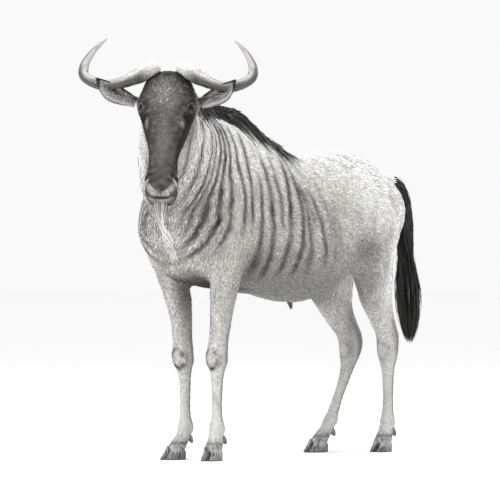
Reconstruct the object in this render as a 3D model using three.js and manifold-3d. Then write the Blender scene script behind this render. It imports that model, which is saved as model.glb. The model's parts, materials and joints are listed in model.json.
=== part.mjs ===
// A blue wildebeest bull, standing, with its head turned to its left: a life-size model in millimetres.
// X points to the animal's left, Y to its rear and Z up. While it is modelled, y = 0 is the line of
// the front feet and x = 0 is the midline of the trunk. The last lines move the whole group so that the
// middle of its outline, seen from above, is the origin, with the soles on z = 0.
import * as THREE from "three";
import Module from "manifold-3d";
import { mergeVertices } from "three/addons/utils/BufferGeometryUtils.js";

const wasm = await Module();
wasm.setup();

// Driving sizes
const WITHERS = 1360; // height of the skin over the shoulder blades
const CHEST_FRONT = -232; // the point of the breast
const RUMP_END = 1282; // the back of the buttocks
const CHEST_DOME = 190; // length over which the breast rounds off
const RUMP_DOME = 70;
const GAP = 0.45; // clearance that a neighbour is grown by before it trims a piece
const CUT = 0.3; // width of a straight cut between two lengths of a leg
const POLL = [140, -353, 1530]; // the top of the forehead, between the horns
const HEAD_YAW = 33; // degrees that the face is turned to the left
const HEAD_TILT = 24; // degrees that the line of the face leans forward from plumb
const HEAD_ROLL = 1; // degrees, right horn up
const CORONET = 56; // height of the top of the hooves
const KNEE = 345; // height of the cut below the front knee
const HOCK = 350; // height of the cut below the hock
const EYE = { radius: 17, t: 150, across: 86, level: -40 };
const FOOTPRINT_MIDDLE = [83, 450]; // x and y of the middle of the outline from above

// Materials
const paint = (color, roughness) => new THREE.MeshStandardMaterial({ color, roughness, metalness: 0 });
const HIDE = paint(0x9a9894, 0.85);
const FACE = paint(0x3c3936, 0.85);
const DARK_HAIR = paint(0x1c1b1a, 0.7);
const PALE_HAIR = paint(0xb9b4aa, 0.75);
const HORN = paint(0x77736c, 0.55);
const HOOF = paint(0x3a3835, 0.5);
const WET_EYE = paint(0x14100d, 0.1);

// Curves and numbers
const radians = THREE.MathUtils.degToRad;
const clamp = THREE.MathUtils.clamp;
const mix = THREE.MathUtils.lerp;

// A smooth curve through rows [s, a, b, ...], as a function of s that gives [a, b, ...]: cubic pieces
// whose slope at each row is that of the line between its two neighbours.
function through(rows) {
  const slope = (i, k) => {
    const before = rows[Math.max(i - 1, 0)];
    const after = rows[Math.min(i + 1, rows.length - 1)];
    return (after[k] - before[k]) / (after[0] - before[0]);
  };
  return (s) => {
    let i = 0;
    while (i < rows.length - 2 && (s - rows[i + 1][0]) * (rows[1][0] - rows[0][0]) > 0) i++;
    const span = rows[i + 1][0] - rows[i][0];
    const t = clamp((s - rows[i][0]) / span, 0, 1);
    const a = 2 * t ** 3 - 3 * t ** 2 + 1;
    const b = t ** 3 - 2 * t ** 2 + t;
    const c = 3 * t ** 2 - 2 * t ** 3;
    const d = t ** 3 - t ** 2;
    return rows[i]
      .slice(1)
      .map((v, j) => a * v + b * span * slope(i, j + 1) + c * rows[i + 1][j + 1] + d * span * slope(i + 1, j + 1));
  };
}

// A repeatable stream of numbers from 0 to 1.
function dice(seed) {
  let state = seed;
  return () => {
    state = (state * 1664525 + 1013904223) % 4294967296;
    return state / 4294967296;
  };
}

// One coordinate of a rounded section at an angle: power 2 is an ellipse, more is squarer.
const rounded = (value, power) => Math.sign(value) * Math.abs(value) ** (2 / power);

// Solids
function solidOf(geometry) {
  const bare = geometry.index ? geometry.toNonIndexed() : geometry.clone();
  bare.deleteAttribute("normal");
  bare.deleteAttribute("uv");
  const merged = mergeVertices(bare, 1e-3);
  const made = new wasm.Manifold(
    new wasm.Mesh({
      numProp: 3,
      vertProperties: merged.attributes.position.array,
      triVerts: new Uint32Array(merged.index.array),
    })
  );
  return made;
}

function geometryOf(solid) {
  const mesh = solid.getMesh();
  const points = new Float32Array(mesh.numVert * 3);
  for (let i = 0; i < mesh.numVert; i++) {
    points.set(mesh.vertProperties.subarray(i * mesh.numProp, i * mesh.numProp + 3), i * 3);
  }
  const geometry = new THREE.BufferGeometry();
  geometry.setAttribute("position", new THREE.BufferAttribute(points, 3));
  geometry.setIndex(new THREE.BufferAttribute(mesh.triVerts, 1));
  return geometry;
}

// The largest closed surface of a solid, without loose scraps and sealed hollows.
function largest(solid) {
  return solid.decompose().reduce((a, b) => (b.volume() > a.volume() ? b : a));
}

const joined = (solids) => solids.reduce((a, b) => a.add(b));
const trimmed = (solid, ...others) => largest(others.reduce((a, b) => a.subtract(b), solid));

// Faces of a closed skin over rings of points, with a single point before the first and after the last.
function skinOver(rings, first, last) {
  const sides = rings[0].length;
  const points = [first, ...rings.flat(), last].flat();
  const faces = [];
  const at = (ring, k) => 1 + ring * sides + (k % sides);
  for (let k = 0; k < sides; k++) {
    faces.push(0, at(0, k + 1), at(0, k));
    faces.push(1 + rings.length * sides, at(rings.length - 1, k), at(rings.length - 1, k + 1));
    for (let r = 0; r < rings.length - 1; r++) {
      faces.push(at(r, k), at(r, k + 1), at(r + 1, k));
      faces.push(at(r, k + 1), at(r + 1, k + 1), at(r + 1, k));
    }
  }
  const geometry = new THREE.BufferGeometry();
  geometry.setAttribute("position", new THREE.Float32BufferAttribute(points, 3));
  geometry.setIndex(faces);
  return geometry;
}

// The solid under such a skin, turned face out if its rings ran the other way.
function loft(rings, first, last) {
  const made = solidOf(skinOver(rings, first, last));
  return made.volume() > 0 ? made : solidOf(skinOver(rings.map((ring) => [...ring].reverse()), first, last));
}

const middleOf = (ring) => [0, 1, 2].map((k) => ring.reduce((sum, p) => sum + p[k], 0) / ring.length);

// Rings of a surface at the given places along it, closed flat at both ends.
function loftOf(surface, places, sides, grow = 0) {
  const angles = Array.from({ length: sides }, (_, k) => (k / sides) * 2 * Math.PI);
  const rings = places.map((s) => angles.map((angle) => surface(s, angle, grow)));
  return loft(rings, middleOf(rings[0]), middleOf(rings[rings.length - 1]));
}

const evenly = (from, to, count) => Array.from({ length: count }, (_, i) => mix(from, to, i / (count - 1)));

// The trunk: rows of y, top, belly, half-width, height of the widest level, and how square the
// section is above and below that level.
const trunkAt = through([
  [-232, 1085, 738, 184, 930, 2.0, 2.0],
  [-130, 1150, 714, 204, 935, 2.1, 2.0],
  [-40, 1245, 702, 224, 940, 2.15, 2.1],
  [60, 1328, 686, 234, 938, 2.1, 2.2],
  [190, WITHERS, 668, 238, 930, 1.85, 2.2],
  [290, 1334, 662, 242, 925, 1.8, 2.2],
  [370, 1284, 653, 249, 918, 1.9, 2.2],
  [460, 1244, 640, 257, 908, 2.1, 2.2],
  [560, 1228, 625, 260, 900, 2.2, 2.15],
  [640, 1226, 620, 256, 900, 2.2, 2.1],
  [740, 1232, 645, 245, 908, 2.2, 2.0],
  [830, 1239, 686, 234, 935, 2.1, 2.0],
  [920, 1246, 742, 224, 965, 2.0, 2.0],
  [1010, 1234, 795, 216, 990, 1.85, 2.1],
  [1080, 1209, 818, 204, 1000, 1.7, 2.1],
  [1140, 1182, 828, 184, 1000, 1.65, 2.1],
  [1200, 1157, 836, 150, 1000, 1.65, 2.1],
  [1250, 1135, 846, 115, 1000, 1.75, 2.1],
  [RUMP_END, 1120, 856, 92, 1000, 1.9, 2.1],
]);

// Muscles and bones that swell the trunk's sides: y, z, their reach along y and z, and their height.
const SWELLS = [
  [20, 1010, 120, 150, 14], // shoulder blade
  [-95, 905, 70, 80, 12], // point of the shoulder
  [150, 1180, 60, 80, -8], // hollow behind the shoulder blade's top
  [930, 1165, 60, 50, 12], // point of the hip
  [1060, 1010, 110, 110, 8], // haunch
  [800, 1090, 70, 70, -10], // hollow of the flank
];

function trunkPoint(y, angle, grow = 0) {
  const [top, belly, wide, level, above, below] = trunkAt(y);
  const front = clamp((CHEST_FRONT + CHEST_DOME - y) / CHEST_DOME, 0, 1);
  const rear = clamp((y - RUMP_END + RUMP_DOME) / RUMP_DOME, 0, 1);
  const dome = Math.sqrt(Math.max(1 - front ** 2, 0)) * Math.sqrt(Math.max(1 - rear ** 2, 0));
  const up = Math.cos(angle);
  const power = up > 0 ? above : below;
  const reach = up > 0 ? top - level : level - belly;
  const z = level + rounded(up, power) * (reach * dome + grow);
  let x = rounded(Math.sin(angle), power) * (wide * dome + grow);
  for (const [sy, sz, ry, rz, high] of SWELLS) {
    x += Math.sin(angle) * dome * high * Math.exp(-(((y - sy) / ry) ** 2) - ((z - sz) / rz) ** 2);
  }
  return [x, y, z];
}

function trunkPlaces() {
  const dome = (length, count) => evenly(0.18, Math.PI / 2, count).map((a) => length * (1 - Math.cos(a)));
  return [
    ...dome(CHEST_DOME, 5).map((d) => CHEST_FRONT + d),
    ...evenly(40, 1140, 14),
    ...dome(RUMP_DOME, 4)
      .map((d) => RUMP_END - d)
      .reverse(),
  ];
}

function trunkSolid(grow = 0) {
  return loftOf(trunkPoint, trunkPlaces(), 24, grow);
}

// The neck: rows of the way along, the middle of the section, its reach up and down from there and
// its half-width. Each section stands square to the line of the middles.
const neckAt = through([
  [0, 0, 300, 965, 285, 250, 140],
  [1, 0, 120, 1078, 284, 284, 180],
  [2, 2, 0, 1142, 258, 290, 190],
  [3, 14, -100, 1200, 222, 246, 174],
  [4, 42, -180, 1262, 178, 186, 150],
  [5, 74, -248, 1340, 132, 134, 118],
  [6, 98, -290, 1410, 88, 88, 84],
]);

function neckFrame(s) {
  const [x, y, z] = neckAt(s);
  const ahead = new THREE.Vector3(...neckAt(Math.min(s + 0.1, 6)));
  const behind = new THREE.Vector3(...neckAt(Math.max(s - 0.1, 0)));
  const along = ahead.sub(behind).normalize();
  const left = new THREE.Vector3(0, 0, 1).cross(along).normalize();
  const up = new THREE.Vector3().crossVectors(along, left);
  return { centre: new THREE.Vector3(x, y, z), along, left, up };
}

function neckPoint(s, angle, grow = 0) {
  const { centre, left, up } = neckFrame(s);
  const [, , , upward, downward, wide] = neckAt(s);
  const over = Math.cos(angle) > 0;
  const power = over ? 1.75 : 2.1;
  const across = rounded(Math.sin(angle), power) * (wide + grow);
  const rise = rounded(Math.cos(angle), power) * ((over ? upward : downward) + grow);
  return centre.clone().addScaledVector(left, across).addScaledVector(up, rise).toArray();
}

function neckSolid(grow = 0) {
  return loftOf(neckPoint, evenly(0.4, 5.7, 11), 22, grow);
}

// The head's own axes: across to its left, level out of the face and t down the face from the poll.
const headPlace = new THREE.Matrix4()
  .makeTranslation(...POLL)
  .multiply(new THREE.Matrix4().makeRotationZ(radians(HEAD_YAW)))
  .multiply(new THREE.Matrix4().makeRotationY(radians(HEAD_ROLL)))
  .multiply(new THREE.Matrix4().makeRotationX(radians(-HEAD_TILT)));

const inHead = (across, level, t) => new THREE.Vector3(across, -level, -t).applyMatrix4(headPlace).toArray();

// Rows of t, level of the face's front, level of the jaw's back, half-width, level of the widest
// place, and how square the section is in front of it and behind.
const HEAD_TOP = -34;
const MUZZLE_END = 547;
const headAt = through([
  [HEAD_TOP, -28, -140, 78, -82, 2.2, 2.2],
  [20, -6, -172, 92, -80, 2.4, 2.2],
  [75, 5, -200, 99, -72, 2.8, 2.2],
  [150, 9, -228, 97, -58, 3.1, 2.2],
  [190, 8, -234, 90, -50, 3.0, 2.1],
  [235, 5, -222, 79, -50, 2.9, 2.1],
  [280, 3, -196, 68, -50, 2.8, 2.1],
  [335, 3, -160, 57.5, -52, 2.6, 2.1],
  [385, 3, -140, 57.5, -52, 2.6, 2.3],
  [425, 2, -130, 61, -48, 2.6, 2.5],
  [470, -1, -122, 65.5, -48, 2.7, 2.7],
  [512, -9, -118, 63.5, -56, 2.7, 2.7],
  [MUZZLE_END, -20, -114, 56, -64, 2.5, 2.5],
]);

// Places that stand out of the head or sink into it: t, level, their reach along t and level, height.
const FACE_SWELLS = [
  [122, -24, 34, 24, 8], // brow over the eye
  [165, -74, 44, 30, 6], // cheekbone
  [186, -16, 26, 20, -8], // hollow in front of the eye
  [215, -150, 70, 60, 8], // jaw muscle
  [92, -110, 54, 46, 28], // root of the ear and the temple
  [455, -22, 28, 20, 6], // wing of the nostril
];
const MOUTH = { frontT: 528, cornerT: 440, frontLevel: -28, cornerLevel: -104, wide: 3.2, deep: 9 };

// How far a point of the head is below the plane in which the lips meet.
function belowMouth(t, level) {
  const run = MOUTH.frontLevel - MOUTH.cornerLevel;
  const fall = MOUTH.frontT - MOUTH.cornerT;
  return ((t - MOUTH.cornerT) * run - (level - MOUTH.cornerLevel) * fall) / Math.hypot(run, fall);
}

function headLocal(t, angle, grow = 0) {
  const [front, jaw, wide, level, before, behind] = headAt(t);
  const top = clamp((HEAD_TOP + 60 - t) / 60, 0, 1);
  const tip = clamp((t - MUZZLE_END + 46) / 46, 0, 1);
  const dome = Math.sqrt(Math.max(1 - top ** 2, 0)) * Math.sqrt(Math.max(1 - tip ** 2.2, 0));
  const out = Math.cos(angle);
  const power = out > 0 ? before : behind;
  const reach = out > 0 ? front - level : level - jaw;
  const depth = level + rounded(out, power) * (reach * dome + grow);
  let across = rounded(Math.sin(angle), power) * (wide * dome + grow);
  let swell = 0;
  for (const [st, sl, rt, rl, high] of FACE_SWELLS) {
    swell += high * Math.exp(-(((t - st) / rt) ** 2) - ((depth - sl) / rl) ** 2);
  }
  const lip = Math.abs(belowMouth(t, depth)) - 9;
  if (t > 400) swell += 4 * dome * Math.exp(-((lip / 6) ** 2));
  across += Math.sin(angle) * swell;
  return [across, depth, t];
}

const headPoint = (t, angle, grow = 0) => inHead(...headLocal(t, angle, grow));

function headPlaces() {
  return [-31, -23, -8, 18, 50, 84, 116, 150, 180, 215, 260, 310, 360, 400,
    430, 455, 478, 498, 516, 530, 540, 545];
}

function headSolid(grow = 0) {
  return loftOf(headPoint, headPlaces(), 26, grow);
}

// A box in the head's own axes, given by its middle, its sizes and a turn about the across axis.
function boxInHead(middle, size, turn = 0) {
  const [across, level, t] = middle;
  const geometry = new THREE.BoxGeometry(...size);
  geometry.rotateX(radians(turn));
  geometry.translate(across, -level, -t);
  geometry.applyMatrix4(headPlace);
  return solidOf(geometry);
}

// The line of the mouth: a thin slab in the plane of the lips, only as deep as the lips are thick.
function mouthGroove() {
  const run = MOUTH.frontLevel - MOUTH.cornerLevel;
  const fall = MOUTH.frontT - MOUTH.cornerT;
  const turn = (Math.atan2(fall, run) * 180) / Math.PI;
  const length = Math.hypot(run, fall) + 60;
  const middle = [0, (MOUTH.frontLevel + MOUTH.cornerLevel) / 2 + 18, (MOUTH.frontT + MOUTH.cornerT) / 2 + 22];
  const slab = boxInHead(middle, [180, length, MOUTH.wide], turn);
  return slab.subtract(headSolid(-MOUTH.deep));
}

const ball = (radius, stretch, turns, centre) => {
  const geometry = new THREE.SphereGeometry(radius, 12, 8);
  geometry.scale(...stretch);
  geometry.rotateX(radians(turns[0]));
  geometry.rotateY(radians(turns[1]));
  geometry.rotateZ(radians(turns[2]));
  geometry.translate(centre[0], -centre[1], -centre[2]);
  geometry.applyMatrix4(headPlace);
  return solidOf(geometry);
};

const nostril = (side) => ball(11, [0.55, 0.9, 1.9], [18, side * 28, side * -12], [side * 61, -22, 459]);

// The eyeball, and the rim of lids round it: a bead along an almond outline that hugs the ball.
const eyeCentre = (side) => [side * EYE.across, EYE.level, EYE.t];

function eyeball(side, grow = 0) {
  const geometry = new THREE.SphereGeometry(EYE.radius + grow, 11, 7);
  const [across, level, t] = eyeCentre(side);
  geometry.translate(across, -level, -t);
  geometry.applyMatrix4(headPlace);
  return solidOf(geometry);
}

function lids(side) {
  const outward = new THREE.Vector3(side * 0.8, -0.58, 0.12).normalize();
  const down = new THREE.Vector3(0, 0, -1);
  const along = new THREE.Vector3().crossVectors(down, outward).normalize();
  const high = new THREE.Vector3().crossVectors(outward, along).normalize();
  const centre = new THREE.Vector3(side * EYE.across, -EYE.level, -EYE.t);
  const corners = 18;
  const bead = 5;
  const rings = [];
  for (let k = 0; k < corners; k++) {
    const a = (k / corners) * 2 * Math.PI;
    const long = Math.cos(a) * 0.98;
    const tall = Math.sin(a) * (Math.sin(a) > 0 ? 0.62 : 0.55);
    const depth = Math.sqrt(Math.max(1 - long ** 2 - tall ** 2, 0.02));
    const spot = centre
      .clone()
      .addScaledVector(along, long * (EYE.radius + 1))
      .addScaledVector(high, tall * (EYE.radius + 1))
      .addScaledVector(outward, depth * (EYE.radius + 1));
    const away = spot.clone().sub(centre).normalize();
    const flat = new THREE.Vector3().addScaledVector(along, Math.cos(a)).addScaledVector(high, Math.sin(a));
    rings.push(
      evenly(0, 2 * Math.PI * (1 - 1 / bead), bead).map((b) =>
        spot
          .clone()
          .addScaledVector(away, Math.cos(b) * 3.4)
          .addScaledVector(flat, Math.sin(b) * 4.6)
          .applyMatrix4(headPlace)
          .toArray()
      )
    );
  }
  const points = rings.flat().flat();
  const faces = [];
  for (let k = 0; k < corners; k++) {
    for (let b = 0; b < bead; b++) {
      const p = k * bead + b;
      const q = k * bead + ((b + 1) % bead);
      const r = ((k + 1) % corners) * bead + b;
      const s = ((k + 1) % corners) * bead + ((b + 1) % bead);
      faces.push(p, q, r, q, s, r);
    }
  }
  const geometry = new THREE.BufferGeometry();
  geometry.setAttribute("position", new THREE.Float32BufferAttribute(points, 3));
  geometry.setIndex(faces);
  const made = solidOf(geometry);
  if (made.volume() > 0) return made;
  for (let i = 0; i < faces.length; i += 3) [faces[i + 1], faces[i + 2]] = [faces[i + 2], faces[i + 1]];
  geometry.setIndex(faces);
  return solidOf(geometry);
}

// A horn: rows of the way along, then across, level and t of its middle line, and the half-height
// and half-depth of the section there. It leaves the boss sideways, dips, sweeps up and turns in.
const hornAt = through([
  [0, 30, -26, -22, 9, 16],
  [1, 46, -24, -22, 18, 32],
  [2, 74, -20, -15, 27, 44],
  [3, 100, -20, 1, 31, 46],
  [4, 128, -20, 19, 28, 38],
  [5, 160, -19, 36, 22.5, 29],
  [6, 205, -16, 51, 19.5, 23],
  [7, 262, -13, 55, 20.5, 21.5],
  [8, 305, -13, 37, 20.5, 20.5],
  [9, 328, -18, 13, 20, 20],
  [10, 332, -24, -19, 19, 19],
  [11, 323, -30, -56, 15.5, 15.5],
  [12, 299, -36, -102, 11, 11],
  [13, 276, -39, -131, 7, 7],
  [14, 249, -41, -158, 1.6, 1.6],
]);

function hornPoint(s, angle, side, grow) {
  const [x, level, t, ...girth] = hornAt(s);
  const [high, deep] = girth.map((r) => r + grow);
  const spot = new THREE.Vector3(x, -level, -t);
  const [bx, bl, bt] = hornAt(Math.max(s - 0.15, 0));
  const [ax, al, at] = hornAt(Math.min(s + 0.15, 14));
  const along = new THREE.Vector3(ax - bx, bl - al, bt - at).normalize();
  const deepward = new THREE.Vector3(0, 1, 0).addScaledVector(along, -along.y).normalize();
  const highward = new THREE.Vector3().crossVectors(deepward, along).normalize();
  spot.addScaledVector(deepward, Math.cos(angle) * deep).addScaledVector(highward, Math.sin(angle) * high);
  spot.x *= side;
  return spot.applyMatrix4(headPlace).toArray();
}

function horn(side, grow = 0) {
  const places = [0, 0.4, 1, 1.8, 2.6, 3.4, 4.2, 5, 6, 7, 7.7, 8.4, 9.1, 9.8, 10.5, 11.2, 12, 13, 14];
  return loftOf((s, angle) => hornPoint(s, angle, side, grow), places, 10);
}

// An ear: a leaf rolled into a cup that opens forward. Rows of the way along, the leaf's reach above
// and below the line from root to tip, how deep the cup is, and the wall's thickness.
const EAR = { root: [124, -92, 92], tip: [272, 34, 50], bow: 8 };
const earAt = through([
  [0, 19, 22, 22, 7],
  [0.12, 18, 30, 26, 6],
  [0.28, 19, 41, 28, 5],
  [0.45, 20, 50, 25, 4.5],
  [0.61, 18, 51, 19, 4],
  [0.75, 14, 42, 13, 3.8],
  [0.87, 9, 27, 7, 3.5],
  [0.95, 5, 12, 3, 3],
  [1, 2, 3, 0.5, 2.5],
]);

function ear(side, grow = 0) {
  const root = new THREE.Vector3(EAR.root[0], -EAR.root[1], -EAR.root[2]);
  const tip = new THREE.Vector3(EAR.tip[0], -EAR.tip[1], -EAR.tip[2]);
  const along = tip.clone().sub(root).normalize();
  const facing = new THREE.Vector3(0.05, -0.92, -0.38);
  const forward = facing.clone().addScaledVector(along, -facing.dot(along)).normalize();
  const below = new THREE.Vector3().crossVectors(along, forward).normalize();
  const arcs = 7;
  const rings = [0, 0.12, 0.28, 0.45, 0.61, 0.75, 0.87, 0.95, 1].map((s) => {
    const [upper, lower, deep, wall] = earAt(s).map((size, i) => (i < 2 ? size + grow : size));
    const spot = root.clone().lerp(tip, s).addScaledVector(forward, EAR.bow * Math.sin(Math.PI * s));
    const leaf = (u, thin) => u * ((u > 0 ? lower : upper) - thin);
    const outer = evenly(-1, 1, arcs).map((u) => [leaf(u, 0), -deep * (1 - u * u) - grow]);
    const inner = evenly(1, -1, arcs).map((u) => [leaf(u, wall * 0.6), -deep * (1 - u * u) + wall + grow]);
    return [...outer, ...inner].map(([a, f]) => {
      const p = spot.clone().addScaledVector(below, a).addScaledVector(forward, f);
      p.x *= side;
      return p.applyMatrix4(headPlace).toArray();
    });
  });
  return loft(rings, middleOf(rings[0]), middleOf(rings[rings.length - 1]));
}

// Legs are stacks of level sections: rows of z, y, x, half-length, half-width and squareness.
const FORELEG = through([
  [1010, 12, 120, 55, 40, 0, 2],
  [940, 2, 156, 98, 62, 0, 2],
  [860, -2, 160, 102, 68, 0, 2],
  [800, 6, 152, 91, 64, 0, 2],
  [740, 16, 140, 77, 56, 0, 2.1],
  [680, 20, 127, 69, 51, 0, 2.1],
  [610, 22, 115, 60, 44, 0, 2.1],
  [540, 20, 107, 50, 37.5, 0, 2.2],
  [480, 14, 102, 44, 34, 0, 2.3],
  [440, 9, 100, 43.5, 37, 0, 2.4],
  [408, 6, 99, 42.5, 39, 0, 2.5],
  [376, 9, 98, 37, 35, 0, 2.4],
  [345, 12, 97, 29, 26, 0, 2.2],
  [300, 14, 96, 25.5, 20.5, 0, 2.2],
  [220, 14, 96, 24, 19.5, 0, 2.2],
  [170, 16, 95, 26, 21.5, 0, 2.2],
  [132, 18, 94, 34, 29.5, 0, 2.3],
  [105, 12, 93, 31, 29, 0, 2.3],
  [80, 2, 93, 31, 31, 0, 2.4],
  [CORONET, -10, 92, 35, 35, 0, 2.4],
]);
const HINDLEG = through([
  [1120, 1040, 96, 110, 60, 0, 2],
  [1020, 1036, 114, 172, 78, 6, 2.1],
  [940, 1014, 124, 184, 86, 18, 2.2],
  [850, 994, 129, 182, 78, 29, 2.2],
  [785, 996, 127, 166, 64, 28, 2.2],
  [709, 1018, 124, 145, 57, 22, 2.1],
  [668, 1029, 120, 126, 51, 17, 2.1],
  [616, 1047, 117, 106, 46, 11, 2.1],
  [564, 1079, 113, 86, 40, 6, 2.1],
  [520, 1108, 110, 73, 36, 3, 2.1],
  [486, 1130, 108, 65, 34, 0, 2.1],
  [455, 1137, 106, 59, 35, 0, 2.2],
  [415, 1139, 104, 50, 37, 0, 2.3],
  [380, 1143, 102, 39, 34, 0, 2.2],
  [350, 1145, 101, 31, 27, 0, 2.2],
  [300, 1147, 100, 27, 21.5, 0, 2.2],
  [240, 1148, 100, 25, 20, 0, 2.2],
  [170, 1149, 98, 27, 22, 0, 2.2],
  [130, 1148, 96, 34, 29, 0, 2.3],
  [103, 1143, 95, 31, 29, 0, 2.3],
  [80, 1134, 94, 31, 31, 0, 2.4],
  [CORONET, 1124, 93, 35, 35, 0, 2.4],
]);

// How each leg stands: how far it is moved back at the joint, at the fetlock and at the hoof, how
// much longer the bent joint is from front to back, and how many degrees its hoof is turned out.
const STANCES = {
  foreleg_left: { table: FORELEG, side: 1, joint: 408, shifts: [2, -2, 8], bent: 0, turn: 14 },
  foreleg_right: { table: FORELEG, side: -1, joint: 408, shifts: [34, 32, 4], bent: 0, turn: 6 },
  hindleg_left: { table: HINDLEG, side: 1, joint: 415, shifts: [0, 0, 2], bent: 0, turn: 6 },
  hindleg_right: { table: HINDLEG, side: -1, joint: 415, shifts: [20, -144, -192], bent: 12, turn: 8 },
};

function shiftAt(stance, z) {
  const [atJoint, atFetlock, atHoof] = stance.shifts;
  const shift = through([
    [800, 0],
    [stance.joint + 130, atJoint * 0.6],
    [stance.joint, atJoint],
    [120, atFetlock],
    [CORONET - 4, atHoof],
  ]);
  return shift(z)[0];
}

function legPoint(stance, z, angle, grow = 0) {
  const [y, x, long, wide, slew, power] = stance.table(z);
  const ahead = rounded(Math.cos(angle), power);
  const bent = stance.bent * Math.exp(-(((z - stance.joint - 75) / 90) ** 2));
  return [
    stance.side * (x + slew * ahead + rounded(Math.sin(angle), power) * (wide + grow)),
    y + shiftAt(stance, z) - ahead * (long + bent + grow),
    z,
  ];
}

function legSolid(stance, places, sides, grow = 0) {
  return loftOf((z, angle) => legPoint(stance, z, angle, grow), places, sides);
}

// A claw of a cloven hoof: level outlines that lean back as they rise, flat on the sole. Each row has
// the height, how far the outline is moved back, and its half-length and half-width there.
const CLAW = [
  [0, 0, 50, 17],
  [8, 1, 51, 17.5],
  [30, 11, 41, 17.5],
  [CORONET - CUT, 20, 34, 16.5],
];
const CLAW_GAP = 2.5; // half the gap between the two claws

function hoofMiddle(stance) {
  const [y, x] = stance.table(CORONET);
  return [stance.side * x, y + shiftAt(stance, CORONET)];
}

function claw(stance, inner) {
  const [cx, cy] = hoofMiddle(stance);
  const turn = radians(stance.turn) * stance.side;
  const away = inner ? -stance.side : stance.side;
  const rings = CLAW.map(([z, back, long, wide]) =>
    evenly(0, 2 * Math.PI * (11 / 12), 12).map((a) => {
      const forward = Math.cos(a);
      const narrow = 1 - 0.42 * Math.max(forward, 0) ** 1.6;
      const flat = Math.sin(a) * away > 0 ? 1 : 0.9;
      const toed = forward > 0 ? -away * 3 * forward ** 2 : 0;
      const u = away * (CLAW_GAP + 17) + rounded(Math.sin(a), 2.4) * wide * narrow * flat + toed * (z < 20 ? 1 : 0.6);
      const v = back - 26 - rounded(forward, 2) * long;
      return [cx + u * Math.cos(turn) - v * Math.sin(turn), cy + u * Math.sin(turn) + v * Math.cos(turn), z];
    })
  );
  return loft(rings, middleOf(rings[0]), middleOf(rings[rings.length - 1]));
}

// A dewclaw: a short blunt horn behind the fetlock.
function dewclaw(stance, inner, leg) {
  const z = 88;
  const [, , long, wide] = stance.table(z);
  const [y, x] = stance.table(z);
  const away = inner ? -1 : 1;
  const root = new THREE.Vector3(stance.side * (x + away * wide * 0.52), y + shiftAt(stance, z) + long * 0.72, z + 8);
  const tip = root.clone().add(new THREE.Vector3(stance.side * away * 3, 21, -32));
  const along = tip.clone().sub(root);
  const rings = [[0, 11.5], [0.4, 12.5], [0.8, 8.5]].map(([s, r]) =>
    evenly(0, 2 * Math.PI * (5 / 6), 6).map((a) => [
      root.x + along.x * s + Math.cos(a) * r,
      root.y + along.y * s + Math.sin(a) * r * 0.8,
      root.z + along.z * s + Math.sin(a) * r * 0.5,
    ])
  );
  return trimmed(loft(rings, root.toArray(), tip.toArray()), leg);
}

// The tail's fleshy dock: rows of the way along, x, y, z and radius.
const dockAt = through([
  [0, 0, 1215, 1118, 34],
  [1, 0, 1270, 1122, 33],
  [2, 3, 1326, 1094, 31],
  [3, 8, 1362, 1028, 30],
  [4, 14, 1374, 940, 26],
  [5, 20, 1378, 850, 20],
]);
const DOCK_CUT = 905; // height below which the tail is nothing but hair

function dockPoint(s, angle, grow = 0) {
  const [x, y, z, radius] = dockAt(s);
  const [, by, bz] = dockAt(Math.max(s - 0.1, 0));
  const [, ay, az] = dockAt(Math.min(s + 0.1, 5));
  const tilt = Math.atan2(ay - by, bz - az);
  const back = Math.cos(angle) * (radius + grow);
  return [x + Math.sin(angle) * (radius + grow), y + back * Math.cos(tilt), z + back * Math.sin(tilt)];
}

const dockSolid = (from, to, count, grow = 0) => loftOf(dockPoint, evenly(from, to, count), 12, grow);

// A block that cuts the body: its top face, or its front face, lies in the plane through a point
// (y, z) that rises towards the rear by the given degrees. It starts at the distance inner from the
// midline on one side.
function block(side, inner, [y, z], slope, [ahead, behind, down]) {
  const geometry = new THREE.BoxGeometry(600, ahead + behind, down);
  geometry.translate(side * (300 + inner), (behind - ahead) / 2, -down / 2);
  geometry.rotateX(radians(slope));
  geometry.translate(0, y, z);
  return solidOf(geometry);
}

// What belongs to a leg: all that is under a sloping plane through the elbow or the stifle, behind
// or in front of a second plane, and clear of the midline.
function legRegion(stance, grow = 0) {
  const { side } = stance;
  const fore = stance.table === FORELEG;
  const under = fore
    ? block(side, 28 - grow, [-5, 758 + grow], -12, [600, 400, 1200])
    : block(side, 26 - grow, [1035, 832 + grow], 13, [420, 420, 900]);
  const wall = fore
    ? block(side, 0, [0, 900], 0, [300, 132 + grow, 900])
    : block(side, 0, [800 - grow, 800], 123, [900, 900, 900]);
  return under.intersect(wall);
}

// What belongs to the neck: all that is in front of and above a plane from the withers to the breast.
function neckRegion(grow = 0) {
  const geometry = new THREE.BoxGeometry(1200, 900, 1600);
  geometry.translate(0, -450 + grow, 200);
  geometry.rotateX(radians(-39.8));
  geometry.translate(0, -61, 1140);
  return solidOf(geometry);
}

// The parts, each trimmed by the grown shape of what carries it.
const legTop = (stance) => (stance.table === FORELEG ? 990 : 1110);
const legCut = (stance) => (stance.table === FORELEG ? KNEE : HOCK);

function thigh(stance, grow = 0) {
  const places = [...evenly(legTop(stance), 560, 9), ...evenly(510, legCut(stance) + CUT / 2, 5)];
  return legSolid(stance, places, 14, grow);
}

const bodySolid = (grow) => joined([trunkSolid(grow), neckSolid(grow), ...Object.values(STANCES).map((s) => thigh(s, grow))]);
const body = bodySolid(0);
const bodyRoom = bodySolid(GAP);
const headRoom = headSolid(GAP);
const wholeHead = joined([headSolid(), lids(1), lids(-1)])
  .subtract(eyeball(1, GAP))
  .subtract(eyeball(-1, GAP))
  .subtract(mouthGroove())
  .subtract(nostril(1))
  .subtract(nostril(-1));

const parts = [];
const add = (name, solid, material) => parts.push({ name, solid: largest(solid), material });

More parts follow.
